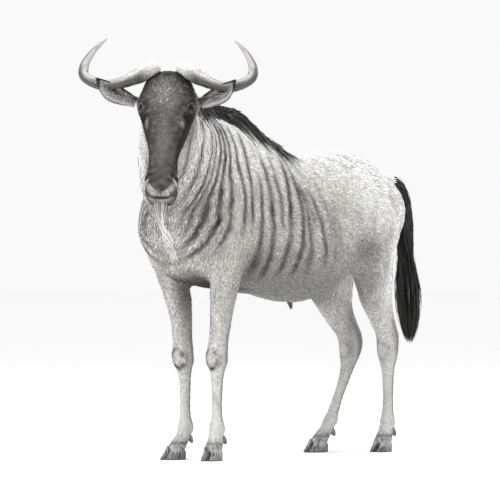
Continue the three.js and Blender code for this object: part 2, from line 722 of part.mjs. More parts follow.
const regions = Object.values(STANCES).map((stance) => legRegion(stance, CUT));
add("torso", trimmed(body, neckRegion(CUT), ...regions), HIDE);
add("neck", trimmed(body.intersect(neckRegion()), headRoom), HIDE);
add("head", wholeHead, FACE);
for (const [name, side] of [["left", 1], ["right", -1]]) {
  add(`eye_${name}`, eyeball(side), WET_EYE);
  add(`horn_${name}`, trimmed(horn(side), headRoom, bodyRoom), HORN);
  add(`ear_${name}`, trimmed(ear(side), headRoom, bodyRoom, horn(side, GAP)), HIDE);
}
for (const [name, stance] of Object.entries(STANCES)) {
  const low = [...evenly(legCut(stance) - CUT / 2, 200, 4), 160, 136, 115, 96, 76, CORONET + CUT / 2];
  add(name, body.intersect(legRegion(stance)), HIDE);
  add(`${name}_shank`, legSolid(stance, low, 11), HIDE);
  for (const inner of [true, false]) {
    const which = inner ? "inner" : "outer";
    add(`${name}_hoof_${which}`, claw(stance, inner), HOOF);
    add(`${name}_dewclaw_${which}`, dewclaw(stance, inner, legSolid(stance, low, 11, GAP)), HOOF);
  }
}

// Long hair: flat tapered locks that overlap along the lie, rooted in a core and fused with it.
const vector = (p) => new THREE.Vector3(...p);

// One lock along a curve of points: a flat ridge, as broad as it is wide in the direction broad.
function lock(curve, broad, wide, thick, stations = 4) {
  const at = through(curve.map((p, i) => [i / (curve.length - 1), ...p]));
  const rings = evenly(0, 0.88, stations).map((t) => {
    const along = vector(at(Math.min(t + 0.05, 1))).sub(vector(at(Math.max(t - 0.05, 0)))).normalize();
    const across = vector(broad).addScaledVector(along, -along.dot(vector(broad))).normalize();
    const out = along.clone().cross(across);
    const width = (wide / 2) * (0.5 + 1.2 * t) * (1 - t ** 2.2);
    const depth = thick * (1 - 0.6 * t);
    const middle = vector(at(t));
    return [[width, -0.35], [0, 0.65], [-width, -0.35]].map(([u, v]) =>
      middle.clone().addScaledVector(across, u).addScaledVector(out, v * depth).toArray()
    );
  });
  return loft(rings, at(0), at(1));
}

// The height of the body's upper surface over a place, found among its triangles.
const roof = (() => {
  const mesh = joined([trunkSolid(), neckSolid()]).getMesh();
  const corner = (i) => mesh.vertProperties.subarray(i * mesh.numProp, i * mesh.numProp + 3);
  return (x, y) => {
    let best = 0;
    for (let i = 0; i < mesh.triVerts.length; i += 3) {
      const [a, b, c] = [corner(mesh.triVerts[i]), corner(mesh.triVerts[i + 1]), corner(mesh.triVerts[i + 2])];
      const area = (b[0] - a[0]) * (c[1] - a[1]) - (c[0] - a[0]) * (b[1] - a[1]);
      if (area <= 0) continue;
      const u = ((x - a[0]) * (c[1] - a[1]) - (c[0] - a[0]) * (y - a[1])) / area;
      const v = ((b[0] - a[0]) * (y - a[1]) - (x - a[0]) * (b[1] - a[1])) / area;
      if (u < 0 || v < 0 || u + v > 1) continue;
      best = Math.max(best, a[2] + u * (b[2] - a[2]) + v * (c[2] - a[2]));
    }
    return best;
  };
})();

// The mane: along the crest from the nape, over the withers and down their back slope. The crest line
// is given by rows of y, x and the height of the hair over it.
const crestAt = through([
  [-238, 84, 22],
  [-190, 58, 34],
  [-105, 22, 44],
  [-10, 5, 44],
  [190, 3, 44],
  [370, 3, 42],
  [450, 3, 30],
  [530, 3, 10],
]);
const MANE = { from: -232, to: 520, thick: 11, lift: 9 };

// The mane's core follows the crest and lies half way down the side that the hair falls to: points out
// from the crest and over the skin there, where 1 is the height of the hair.
const MANE_CORE = [[0, 0.55], [14, 0.42], [28, 0.24], [42, 0.1], [42, -0.5], [2, -0.8], [-24, -0.5], [-24, 0.12], [-12, 0.38]];

function maneCore() {
  const rings = evenly(MANE.from, MANE.to, 13).map((y) => {
    const [x, high] = crestAt(y);
    const ends = Math.min(1, (y - MANE.from + 24) / 70, (MANE.to + 12 - y) / 90);
    return MANE_CORE.map(([u, v]) => {
      const out = x + u * ends;
      return [out, y, roof(out, y) + (v > 0 ? v * high * ends : v * 40)];
    });
  });
  return loft(rings, middleOf(rings[0]), middleOf(rings[12]));
}

// A lock that rises from the crest and falls to one side; reach and sweep say how far out and back.
function fallenLock(y, side, reach, sweep, wide) {
  const [x, high] = crestAt(y);
  const spot = (out, back, over) => [x + side * out, y + back, roof(x + side * out, y + back) + over];
  const curve = [
    spot(0, 0, 4),
    [x + side * 9, y + sweep * 0.12, roof(x, y) + high * 0.72],
    spot(reach * 0.42, sweep * 0.4, MANE.lift + 7),
    spot(reach * 0.72, sweep * 0.72, MANE.lift + 2),
    spot(reach, sweep, MANE.lift - 1),
  ];
  return lock(curve, [0, side, 0], wide, MANE.thick);
}

// A lock that stands on the crest and is swept back over the next ones.
function standingLock(y, lean, sweep, rise, wide) {
  const [x, high] = crestAt(y);
  const top = (back) => roof(crestAt(y + back)[0], y + back);
  const curve = [
    [x, y, top(0) - 4],
    [x + lean * 0.3, y + sweep * 0.3, top(sweep * 0.3) + high * rise * 0.56],
    [x + lean * 0.7, y + sweep * 0.64, top(sweep * 0.64) + high * rise * 0.92],
    [x + lean, y + sweep, top(sweep) + high * rise],
  ];
  return lock(curve, [0, -1, 1], wide, MANE.thick);
}

function mane() {
  const roll = dice(4);
  const locks = [maneCore()];
  const count = { left: 16, right: 7, up: 12 };
  for (const y of evenly(-215, 462, count.left)) {
    const long = y > 120 && y < 430 ? 1.5 : 1;
    const fade = clamp((520 - y) / 130, 0.5, 1);
    locks.push(fallenLock(y, 1, (54 + 50 * roll()) * long * fade, 30 + 40 * roll(), 52 + 14 * roll()));
  }
  for (const y of evenly(-195, 430, count.right)) {
    locks.push(fallenLock(y + 12 * roll(), -1, 40 + 36 * roll(), 30 + 36 * roll(), 54 + 12 * roll()));
  }
  for (const y of evenly(-224, 488, count.up)) {
    locks.push(standingLock(y, -8 + 20 * roll(), 84 + 26 * roll(), 0.86 + 0.24 * roll(), 50 + 10 * roll()));
  }
  return joined(locks);
}

// A hank: a core that narrows downwards, hung with locks all round. Rows of x, y, z, half-width
// across and half-depth give its outline out to the tips of the hair.
function hank(rows, { sides, locks, seed, turn = 0, core = 0.5, wide, thick, length }) {
  const roll = dice(seed);
  const at = through(rows.map((row, i) => [i, ...row]));
  const last = rows.length - 1;
  const around = (s, angle, scale) => {
    const [x, y, z, across, deep] = at(s);
    const u = Math.sin(angle) * across * scale;
    const v = Math.cos(angle) * deep * scale;
    const c = Math.cos(radians(turn));
    const d = Math.sin(radians(turn));
    return [x + u * c - v * d, y + u * d + v * c, z];
  };
  const places = evenly(0, last - 0.6, rows.length + 1);
  const rings = places.map((s) => evenly(0, 2 * Math.PI * ((sides - 1) / sides), sides).map((a) => around(s, a, core)));
  const pieces = [loft(rings, middleOf(rings[0]), middleOf(rings[rings.length - 1]))];
  for (let i = 0; i < locks; i++) {
    const start = (last - length) * (i / (locks - 1)) ** 0.9;
    const angle = i * 2.4 + 0.5 * roll();
    const reach = Math.min(start + length * (0.8 + 0.25 * roll()), last);
    const curve = [
      around(start, angle, core * 0.5),
      around(mix(start, reach, 0.3), angle + 0.08, 0.85),
      around(mix(start, reach, 0.65), angle + 0.2 * roll(), 0.98),
      around(reach, angle + 0.5 * (roll() - 0.5), 0.7),
    ];
    const [inward, outward] = [0, 1].map((scale) => around(mix(start, reach, 0.4), angle, scale));
    const broad = [outward[1] - inward[1], inward[0] - outward[0], 0];
    pieces.push(lock(curve, broad, wide * (0.85 + 0.3 * roll()), thick));
  }
  return joined(pieces);
}

// The beard: a fringe that hangs from the chin and, behind it, from the edge of the jaw. Rows of the way
// along, the level and t of its root, how far it hangs down and how far it swings to the left there.
const beardAt = through([
  [0, -44, 540, 196, 50],
  [1, -70, 547, 218, 50],
  [2, -100, 545, 206, 40],
  [3, -112, 505, 196, 20],
  [4, -118, 455, 196, 4],
  [5, -132, 405, 190, 0],
  [6, -150, 358, 170, 0],
  [7, -178, 312, 130, 0],
]);
const BEARD = { half: 15, wide: 36, thick: 9, locks: 20 };

// A point of the beard: out to the head's left and down from the root, with the swing of the hair.
function beardPoint(s, across, down) {
  const [level, t, length, swing] = beardAt(s);
  const [x, y, z] = inHead(across, level + 8, t - 8);
  const drift = swing * THREE.MathUtils.smoothstep(down / length, 0.35, 0.95);
  return [x + 0.788 * drift, y + 0.616 * drift, z - down];
}

function beardSolid() {
  const roll = dice(4);
  const rings = evenly(0.15, 6.8, 8).map((s) => {
    const [, , length] = beardAt(s);
    return [[0, -6], [BEARD.half, 4], [BEARD.half * 0.8, length * 0.28], [0, length * 0.46],
      [-BEARD.half * 0.8, length * 0.28], [-BEARD.half, 4]].map(([u, v]) => beardPoint(s, u, v));
  });
  const pieces = [loft(rings, middleOf(rings[0]), middleOf(rings[7]))];
  for (let i = 0; i < BEARD.locks; i++) {
    const s = 0.1 + 6.8 * (i / (BEARD.locks - 1));
    const [, , length] = beardAt(s);
    const side = [-1, 1, -0.2, 0.9, -0.9][i % 5];
    const wide = s < 2.4 ? 1.5 : 1;
    const down = length * (0.8 + 0.22 * roll());
    const curve = [
      beardPoint(s, side * 7, 0),
      beardPoint(s + 0.1, side * 15 * wide, down * 0.3),
      beardPoint(s + 0.2 * roll(), side * 13 * wide, down * 0.66),
      beardPoint(s + 0.5 * (roll() - 0.5), side * 5 + 6 * (roll() - 0.5), down),
    ];
    const [fx, fy] = inHead(side, 0, 0).map((v, k) => v - POLL[k]);
    const broad = s < 1 ? [0.78 - fy, 0.62 + fx, 0] : [-fy, fx, 0];
    pieces.push(lock(curve, broad, BEARD.wide * (0.85 + 0.3 * roll()), BEARD.thick));
  }
  return joined(pieces);
}

const TUFT = [
  [16, 1376, 930, 24, 26],
  [18, 1377, DOCK_CUT, 25, 27],
  [19, 1378, 850, 27, 29],
  [22, 1380, 780, 38, 40],
  [26, 1384, 700, 51, 53],
  [30, 1386, 620, 54, 56],
  [32, 1388, 540, 42, 44],
  [34, 1388, 470, 26, 26],
  [34, 1388, 436, 12, 12],
];
const SHEATH = [
  [0, 604, 665, 22, 30],
  [0, 608, 630, 18, 25],
  [0, 615, 606, 13, 18],
  [0, 622, 588, 6, 8],
];

// The tail above the tuft: the dock, with hair that stands off its back and sides.
function tailHair() {
  const roll = dice(6);
  return evenly(1.3, 3.4, 7).map((s) => {
    const angle = (roll() - 0.5) * 2.2;
    const curve = [
      dockPoint(s, angle, -14),
      dockPoint(s + 0.4, angle, 6),
      dockPoint(s + 0.95, angle * 1.1, 12 + 6 * roll()),
    ];
    const outward = vector(dockPoint(s + 0.5, angle, 10)).sub(vector(dockPoint(s + 0.5, angle, 0)));
    const along = vector(dockPoint(s + 1, angle)).sub(vector(dockPoint(s, angle)));
    return lock(curve, outward.cross(along).normalize().toArray(), 28, 9);
  });
}

const aboveCut = block(0, -300, [1300, DOCK_CUT], 0, [300, 300, 300]);
const belowCut = aboveCut.translate(0, 0, 300 - CUT / 2);
const tail = joined([dockSolid(0, 5, 10, 6), ...tailHair()]).subtract(aboveCut);
const tuft = hank(TUFT, { sides: 7, locks: 16, seed: 3, wide: 54, thick: 15, length: 3.7 }).subtract(belowCut);
const sheath = hank(SHEATH, { sides: 6, locks: 6, seed: 4, wide: 18, thick: 9, length: 1.9 });
const hornsAndEars = [1, -1].flatMap((side) => [horn(side, GAP), ear(side, GAP)]);

add("tail", trimmed(tail, bodyRoom), HIDE);
add("tail_tuft", tuft, DARK_HAIR);
add("mane", trimmed(mane(), bodyRoom, headRoom, ...hornsAndEars), DARK_HAIR);
add("beard", trimmed(beardSolid(), headRoom, bodyRoom), PALE_HAIR);
add("sheath", trimmed(sheath, bodyRoom), DARK_HAIR);

const wildebeest = new THREE.Group();
wildebeest.name = "wildebeest";
for (const { name, solid, material } of parts) {
  const mesh = new THREE.Mesh(geometryOf(solid), material);
  mesh.name = name;
  wildebeest.add(mesh);
}
wildebeest.position.set(-FOOTPRINT_MIDDLE[0], -FOOTPRINT_MIDDLE[1], 0);

export default wildebeest;
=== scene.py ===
# %% [markdown]
# # A blue wildebeest bull, life size
# The solids of this model give its size and its main forms. This file dresses them: one skin over head,
# neck, trunk, legs and tail, then eyes, ears, horns and hooves, then a short coat in tufts and long hair
# in locks. All is worked out with numpy in millimetres, on the animal's own axes: x to its left, y to its
# rear from the front feet, z up. The last step before a mesh is made moves it to the frame, in metres.

# %% Setup
import json
import math

import bpy
import numpy as np
from mathutils import Matrix, Vector
from mathutils.bvhtree import BVHTree

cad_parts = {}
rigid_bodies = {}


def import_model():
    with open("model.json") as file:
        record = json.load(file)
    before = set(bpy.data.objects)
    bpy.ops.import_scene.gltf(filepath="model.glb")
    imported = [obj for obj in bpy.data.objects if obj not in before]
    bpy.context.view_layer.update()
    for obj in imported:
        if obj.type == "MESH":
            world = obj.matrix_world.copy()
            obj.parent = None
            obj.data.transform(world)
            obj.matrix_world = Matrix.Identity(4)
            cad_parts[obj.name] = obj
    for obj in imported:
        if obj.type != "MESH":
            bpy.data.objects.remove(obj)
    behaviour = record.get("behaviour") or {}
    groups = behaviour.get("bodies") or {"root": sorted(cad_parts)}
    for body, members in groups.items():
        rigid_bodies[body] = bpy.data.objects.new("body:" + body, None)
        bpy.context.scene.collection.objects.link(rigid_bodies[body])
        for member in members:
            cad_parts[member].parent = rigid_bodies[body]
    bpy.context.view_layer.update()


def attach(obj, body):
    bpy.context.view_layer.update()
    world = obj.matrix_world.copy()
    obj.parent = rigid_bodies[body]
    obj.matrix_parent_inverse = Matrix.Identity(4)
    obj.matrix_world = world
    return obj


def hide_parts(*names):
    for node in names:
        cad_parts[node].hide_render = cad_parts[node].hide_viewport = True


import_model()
FOOTPRINT_MIDDLE = np.array([83.0, 450.0, 0.0])  # the frame's origin, on the animal's own axes
SIDES = ((1, "left"), (-1, "right"))  # which way x runs on each side
LEGS = [f"{leg}_{side}" for leg in ("foreleg", "hindleg") for _, side in SIDES]
FLESH = ["torso", "neck", "head", "tail"] + [leg + low for leg in LEGS for low in ("", "_shank")]


def placed(points):
    """Millimetres on the animal's axes to metres in the frame."""
    return (np.asarray(points, float) - FOOTPRINT_MIDDLE) * 0.001


def unit(v):
    """The same directions, one long."""
    return v / np.maximum(np.linalg.norm(v, axis=-1, keepdims=True), 1e-9)


def smooth(x, low, high):
    """0 below low, 1 above high, with a soft step between them."""
    t = np.clip((np.asarray(x, float) - low) / (high - low), 0, 1)
    return t * t * (3 - 2 * t)


def bell(x, middle, reach):
    """A bump of height 1 at its middle, which falls to a third at its reach."""
    return np.exp(-(((x - middle) / reach) ** 2))


def through(rows):
    """A smooth curve through rows [s, a, b, ...]: cubic pieces with the slope of each row's neighbours."""
    rows = np.array(sorted(rows), float)
    at, values = rows[:, 0], rows[:, 1:]
    before = np.r_[0, np.arange(len(at) - 1)]
    after = np.r_[np.arange(1, len(at)), len(at) - 1]
    slope = (values[after] - values[before]) / (at[after] - at[before])[:, None]

    def curve(s):
        s = np.clip(np.asarray(s, float), at[0], at[-1])
        i = np.clip(np.searchsorted(at, s, side="right") - 1, 0, len(at) - 2)
        span = (at[i + 1] - at[i])[..., None]
        t = (s - at[i])[..., None] / span
        here = (2 * t**3 - 3 * t**2 + 1) * values[i] + (t**3 - 2 * t**2 + t) * span * slope[i]
        there = (3 * t**2 - 2 * t**3) * values[i + 1] + (t**3 - t**2) * span * slope[i + 1]
        return np.moveaxis(here + there, -1, 0)

    return curve


WAVES = 9
LONGEST_WAVE = 2.2  # in features
WAVE_SUM = 4.2  # brings the sum of the waves to between -1 and 1


def noise(points, size, seed):
    """Soft noise from -1 to 1 with features of a given size: a sum of waves in random directions."""
    draw = np.random.default_rng(seed)
    total = np.zeros(points.shape[:-1])
    for _ in range(WAVES):
        way = unit(draw.normal(size=3)) * (1 + 0.9 * draw.random()) * 2 * np.pi / (size * LONGEST_WAVE)
        total += np.sin(points @ way + draw.random() * 6.28)
    return total / WAVE_SUM


# %% [markdown]
# ## Meshes from arrays
# A form is a grid of points: rings along a path, each with the same number of points round it. Its ends
# are closed with one point each, so it is a closed body that a remesh can fuse with its neighbours.


# %% From arrays to a Blender object
def mesh_object(name, points, faces, colors=None, uv=None):
    """A triangle mesh at the origin from points in metres, with a linear colour for each point."""
    points, faces = np.asarray(points, np.float32), np.asarray(faces, np.int32)
    mesh = bpy.data.meshes.new(name)
    mesh.vertices.add(len(points))
    mesh.vertices.foreach_set("co", points.ravel())
    mesh.loops.add(faces.size)
    mesh.loops.foreach_set("vertex_index", faces.ravel())
    mesh.polygons.add(len(faces))
    mesh.polygons.foreach_set("loop_start", np.arange(0, faces.size, 3, dtype=np.int32))
    mesh.polygons.foreach_set("use_smooth", np.ones(len(faces), bool))
    if uv is not None:
        unwrap = mesh.uv_layers.new(name="OFBake").data
        unwrap.foreach_set("uv", uv[faces.ravel()].astype(np.float32).ravel())
    mesh.update()
    mesh.validate()
    if colors is not None:
        paint(mesh, colors)
    thing = bpy.data.objects.new(name, mesh)
    bpy.context.scene.collection.objects.link(thing)
    return thing


def paint(mesh, colors):
    """Store a linear colour for each point as the attribute coat."""
    rgba = np.c_[np.clip(colors, 0, 1), np.ones(len(colors))].astype(np.float32)
    mesh.attributes.new("coat", "FLOAT_COLOR", "POINT").data.foreach_set("color", rgba.ravel())


def walls(count, sides):
    """Triangles between the rings of a grid: count rings, with so many sides round each."""
    r, k = np.meshgrid(np.arange(count - 1), np.arange(sides), indexing="ij")
    a, b = r * sides + k, r * sides + (k + 1) % sides
    halves = np.stack([a, b, a + sides], -1), np.stack([b, b + sides, a + sides], -1)
    return np.concatenate(halves).reshape(-1, 3)


def face_normals(points, faces):
    """A normal for each face, twice as long as the face is large."""
    corner = points[faces]
    return np.cross(corner[:, 1] - corner[:, 0], corner[:, 2] - corner[:, 0])


def point_normals(points, faces):
    """The sum of the normals of each point's faces, made one long."""
    flat = face_normals(points, faces)
    sums = [np.bincount(faces.ravel(), np.repeat(flat[:, k], 3), len(points)) for k in range(3)]
    return unit(np.stack(sums, -1))


def facing_out(points, faces):
    """The faces of a closed body turned outwards: then the volume that they enclose is more than 0."""
    corner = points[faces] - points.mean(0)
    volume = np.einsum("ij,ij->i", corner[:, 0], np.cross(corner[:, 1], corner[:, 2])).sum()
    return faces if volume > 0 else faces[:, ::-1]


def shell(rings):
    """Points and faces of a closed body over rings of points, shaped (rings, sides, 3)."""
    count, sides = rings.shape[:2]
    points = np.vstack([rings.reshape(-1, 3), rings[0].mean(0), rings[-1].mean(0)])
    k = np.arange(sides)
    last = (count - 1) * sides
    first_cap = np.stack([np.full(sides, count * sides), (k + 1) % sides, k], -1)
    last_cap = np.stack([np.full(sides, count * sides + 1), last + k, last + (k + 1) % sides], -1)
    return points, facing_out(points, np.vstack([walls(count, sides), first_cap, last_cap]))


def joined(shells):
    """Several (points, faces) pairs as one."""
    starts = np.cumsum([0] + [len(points) for points, _ in shells[:-1]])
    return np.vstack([p for p, _ in shells]), np.vstack([f + start for (_, f), start in zip(shells, starts)])


def turn(count):
    """Angles once round, without the repeated last one."""
    return np.linspace(0, 2 * np.pi, count, endpoint=False)[None, :]


def rounded(value, power):
    """One coordinate of a rounded section: power 2 is an ellipse, more is squarer."""
    return np.sign(value) * np.abs(value) ** (2 / power)


# %% [markdown]
# ## The body's forms
# A standing bull is deep in front and slopes down to a light rump. Trunk, neck, head and legs are each a
# tube whose section changes along a short table. The same tables carry the solids, so the skin lies where
# they do.

# %% Trunk
CHEST_FRONT, RUMP_END, CHEST_DOME, RUMP_DOME = -232, 1282, 190, 70
# y, top, belly, half-width, level of the widest place, squareness above it and below it
trunk_at = through([
    [-232, 1085, 738, 184, 930, 2.0, 2.0],
    [-130, 1150, 714, 204, 935, 2.1, 2.0],
    [-40, 1245, 702, 224, 940, 2.15, 2.1],
    [60, 1328, 686, 234, 938, 2.1, 2.2],
    [190, 1360, 668, 238, 930, 1.85, 2.2],
    [290, 1334, 662, 242, 925, 1.8, 2.2],
    [370, 1284, 653, 249, 918, 1.9, 2.2],
    [460, 1244, 640, 257, 908, 2.1, 2.2],
    [560, 1228, 625, 260, 900, 2.2, 2.15],
    [640, 1226, 620, 256, 900, 2.2, 2.1],
    [740, 1232, 645, 245, 908, 2.2, 2.0],
    [830, 1239, 686, 234, 935, 2.1, 2.0],
    [920, 1246, 742, 224, 965, 2.0, 2.0],
    [1010, 1234, 795, 216, 990, 1.85, 2.1],
    [1080, 1209, 818, 204, 1000, 1.7, 2.1],
    [1140, 1182, 828, 184, 1000, 1.65, 2.1],
    [1200, 1157, 836, 150, 1000, 1.65, 2.1],
    [1250, 1135, 846, 115, 1000, 1.75, 2.1],
    [1282, 1120, 856, 92, 1000, 1.9, 2.1],
])
# y, z, reach along y and z, height: muscles and bones under the skin of the sides
SWELLS = [
    (20, 1010, 120, 150, 14),  # shoulder blade
    (-95, 905, 70, 80, 12),  # point of the shoulder
    (150, 1180, 60, 80, -8),  # hollow behind the shoulder blade's top
    (930, 1165, 60, 50, 12),  # point of the hip
    (1060, 1010, 110, 110, 8),  # haunch
    (800, 1090, 70, 70, -10),  # hollow of the flank
]


def trunk(y, angle):
    """Points of the trunk at distances y and angles from the top, both broadcast."""
    y, angle = np.broadcast_arrays(np.asarray(y, float), angle)
    top, belly, wide, level, above, below = trunk_at(y)
    front = np.clip((CHEST_FRONT + CHEST_DOME - y) / CHEST_DOME, 0, 1)
    rear = np.clip((y - RUMP_END + RUMP_DOME) / RUMP_DOME, 0, 1)
    dome = np.sqrt(1 - front**2) * np.sqrt(1 - rear**2)
    up, side = np.cos(angle), np.sin(angle)
    power = np.where(up > 0, above, below)
    z = level + rounded(up, power) * np.where(up > 0, top - level, level - belly) * dome
    x = rounded(side, power) * wide * dome
    for sy, sz, ry, rz, high in SWELLS:
        x = x + side * dome * high * bell(y, sy, ry) * bell(z, sz, rz)
    return np.stack([x, y, z], -1)


# %% Neck
# s, middle x, y, z, reach up and down from it, half-width
neck_at = through([
    [0, 0, 300, 965, 285, 250, 140],
    [1, 0, 120, 1078, 284, 284, 180],
    [2, 2, 0, 1142, 258, 290, 190],
    [3, 14, -100, 1200, 222, 246, 174],
    [4, 42, -180, 1262, 178, 186, 150],
    [5, 74, -248, 1340, 132, 134, 118],
    [6, 98, -290, 1410, 88, 88, 84],
])


def neck(s, angle):
    """Points of the neck: each section stands square to the line of the sections' middles."""
    s, angle = np.broadcast_arrays(np.asarray(s, float), angle)
    x, y, z, up, down, wide = neck_at(s)
    step = neck_at(np.minimum(s + 0.1, 6))[:3] - neck_at(np.maximum(s - 0.1, 0))[:3]
    along = unit(np.moveaxis(step, 0, -1))
    left = unit(np.cross([0.0, 0.0, 1.0], along))
    lift = np.cross(along, left)
    over = np.cos(angle) > 0
    power = np.where(over, 1.75, 2.1)
    across = rounded(np.sin(angle), power) * wide
    rise = rounded(np.cos(angle), power) * np.where(over, up, down)
    return np.stack([x, y, z], -1) + left * across[..., None] + lift * rise[..., None]


# %% Head
POLL, HEAD_YAW, HEAD_ROLL, HEAD_TILT = (140, -353, 1530), 33, 1, -24
HEAD_TOP, MUZZLE_END = -34, 547
head_matrix = np.array(
    Matrix.Translation(POLL)
    @ Matrix.Rotation(math.radians(HEAD_YAW), 4, "Z")
    @ Matrix.Rotation(math.radians(HEAD_ROLL), 4, "Y")
    @ Matrix.Rotation(math.radians(HEAD_TILT), 4, "X")
)


def in_head(across, level, t):
    """Head's own axes (across to its left, level out of the face, t down the face) to the animal's."""
    local = np.stack(np.broadcast_arrays(across, -np.asarray(level), -np.asarray(t)), -1)
    return local @ head_matrix[:3, :3].T + head_matrix[:3, 3]


def to_head(points):
    """The animal's axes to the head's own: across, level, t."""
    local = (points - head_matrix[:3, 3]) @ head_matrix[:3, :3]
    return local[..., 0], -local[..., 1], -local[..., 2]


# t, level of the face's front and of the jaw's back, half-width, level of the widest place, squareness
# in front of it and behind it
head_at = through([
    [-34, -28, -140, 78, -82, 2.2, 2.2],
    [20, -6, -172, 92, -80, 2.4, 2.2],
    [75, 5, -200, 99, -72, 2.8, 2.2],
    [150, 9, -228, 97, -58, 3.1, 2.2],
    [190, 8, -234, 90, -50, 3.0, 2.1],
    [235, 5, -222, 79, -50, 2.9, 2.1],
    [280, 3, -196, 68, -50, 2.8, 2.1],
    [335, 3, -160, 57.5, -52, 2.6, 2.1],
    [385, 3, -140, 57.5, -52, 2.6, 2.3],
    [425, 2, -130, 61, -48, 2.6, 2.5],
    [470, -1, -122, 65.5, -48, 2.7, 2.7],
    [512, -9, -118, 63.5, -56, 2.7, 2.7],
    [547, -20, -114, 56, -64, 2.5, 2.5],
])
# t, level, their reach, height: what stands out of the head's sides or sinks into them
FACE_SWELLS = [
    (122, -24, 34, 24, 8),  # brow over the eye
    (165, -74, 44, 30, 6),  # cheekbone
    (186, -16, 26, 20, -8),  # hollow in front of the eye
    (215, -150, 70, 60, 8),  # jaw muscle
    (92, -110, 54, 46, 28),  # root of the ear and the temple
    (455, -22, 28, 20, 6),  # wing of the nostril
]
MOUTH_FRONT, MOUTH_CORNER = (528, -28), (440, -104)  # t and level of the two ends of the line of the lips


def below_mouth(t, level):
    """How far a point of the head is under the plane in which the lips meet."""
    run, fall = MOUTH_FRONT[1] - MOUTH_CORNER[1], MOUTH_FRONT[0] - MOUTH_CORNER[0]
    return ((t - MOUTH_CORNER[0]) * run - (level - MOUTH_CORNER[1]) * fall) / math.hypot(run, fall)


def head_form(t, angle):
    """Points of the head, in its own axes, then the animal's."""
    t, angle = np.broadcast_arrays(np.asarray(t, float), angle)
    front, jaw, wide, level, before, behind = head_at(t)
    top = np.clip((HEAD_TOP + 60 - t) / 60, 0, 1)
    tip = np.clip((t - MUZZLE_END + 46) / 46, 0, 1)
    dome = np.sqrt(1 - top**2) * np.sqrt(np.maximum(1 - tip**2.2, 0))
    out = np.cos(angle)
    power = np.where(out > 0, before, behind)
    depth = level + rounded(out, power) * np.where(out > 0, front - level, level - jaw) * dome
    across = rounded(np.sin(angle), power) * wide * dome
    for st, sl, rt, rl, high in FACE_SWELLS:
        across = across + np.sin(angle) * high * bell(t, st, rt) * bell(depth, sl, rl)
    return in_head(across, depth, t)


# %% Legs and tail
CORONET = 56
HIDDEN_END = 27  # the flesh goes on down to here, inside the hooves
# z, y, x, half-length, half-width, slew of the section, squareness
FORELEG = through([
    [1010, 12, 120, 55, 40, 0, 2], [940, 2, 156, 98, 62, 0, 2], [860, -2, 160, 102, 68, 0, 2],
    [800, 6, 152, 91, 64, 0, 2], [740, 16, 140, 77, 56, 0, 2.1], [680, 20, 127, 69, 51, 0, 2.1],
    [610, 22, 115, 60, 44, 0, 2.1], [540, 20, 107, 50, 37.5, 0, 2.2], [480, 14, 102, 44, 34, 0, 2.3],
    [440, 9, 100, 43.5, 37, 0, 2.4], [408, 6, 99, 42.5, 39, 0, 2.5], [376, 9, 98, 37, 35, 0, 2.4],
    [345, 12, 97, 29, 26, 0, 2.2], [300, 14, 96, 25.5, 20.5, 0, 2.2], [220, 14, 96, 24, 19.5, 0, 2.2],
    [170, 16, 95, 26, 21.5, 0, 2.2], [132, 18, 94, 34, 29.5, 0, 2.3], [105, 12, 93, 31, 29, 0, 2.3],
    [80, 2, 93, 31, 31, 0, 2.4], [CORONET, -10, 92, 35, 35, 0, 2.4],
])
HINDLEG = through([
    [1120, 1040, 96, 110, 60, 0, 2], [1020, 1036, 114, 172, 78, 6, 2.1], [940, 1014, 124, 184, 86, 18, 2.2],
    [850, 994, 129, 182, 78, 29, 2.2], [785, 996, 127, 166, 64, 28, 2.2], [709, 1018, 124, 145, 57, 22, 2.1],
    [668, 1029, 120, 126, 51, 17, 2.1], [616, 1047, 117, 106, 46, 11, 2.1], [564, 1079, 113, 86, 40, 6, 2.1],
    [520, 1108, 110, 73, 36, 3, 2.1], [486, 1130, 108, 65, 34, 0, 2.1], [455, 1137, 106, 59, 35, 0, 2.2],
    [415, 1139, 104, 50, 37, 0, 2.3], [380, 1143, 102, 39, 34, 0, 2.2], [350, 1145, 101, 31, 27, 0, 2.2],
    [300, 1147, 100, 27, 21.5, 0, 2.2], [240, 1148, 100, 25, 20, 0, 2.2], [170, 1149, 98, 27, 22, 0, 2.2],
    [130, 1148, 96, 34, 29, 0, 2.3], [103, 1143, 95, 31, 29, 0, 2.3], [80, 1134, 94, 31, 31, 0, 2.4],
    [CORONET, 1124, 93, 35, 35, 0, 2.4],
])
# table, side, height of the joint, shifts back at joint, fetlock and hoof, bend, degrees the hoof turns out
STANCES = {
    "foreleg_left": (FORELEG, 1, 408, (2, -2, 8), 0, 14),
    "foreleg_right": (FORELEG, -1, 408, (34, 32, 4), 0, 6),
    "hindleg_left": (HINDLEG, 1, 415, (0, 0, 2), 0, 6),
    "hindleg_right": (HINDLEG, -1, 415, (20, -144, -192), 12, 8),
}


def shift_at(stance, z):
    """How far back a leg is moved at a height."""
    _, _, joint, (at_joint, at_fetlock, at_hoof), _, _ = stance
    upper = [[800, 0], [joint + 130, at_joint * 0.6], [joint, at_joint]]
    return through(upper + [[120, at_fetlock], [CORONET - 4, at_hoof]])(z)[0]


def leg(stance, z, angle):
    """Points of a leg: level sections, with the angle from the leg's front."""
    z, angle = np.broadcast_arrays(np.asarray(z, float), angle)
    table, side, joint, _, bend, _ = stance
    y, x, long, wide, slew, power = table(z)
    ahead = rounded(np.cos(angle), power)
    bent = bend * bell(z, joint + 75, 90)
    tuck = 1 - 0.4 * np.clip((CORONET - z) / 30, 0, 1) ** 2  # the end that is hidden in the hoof
    long, wide = long * tuck, wide * tuck
    return np.stack([
        side * (x + slew * ahead + rounded(np.sin(angle), power) * wide),
        y + shift_at(stance, z) - ahead * (long + bent),
        z,
    ], -1)


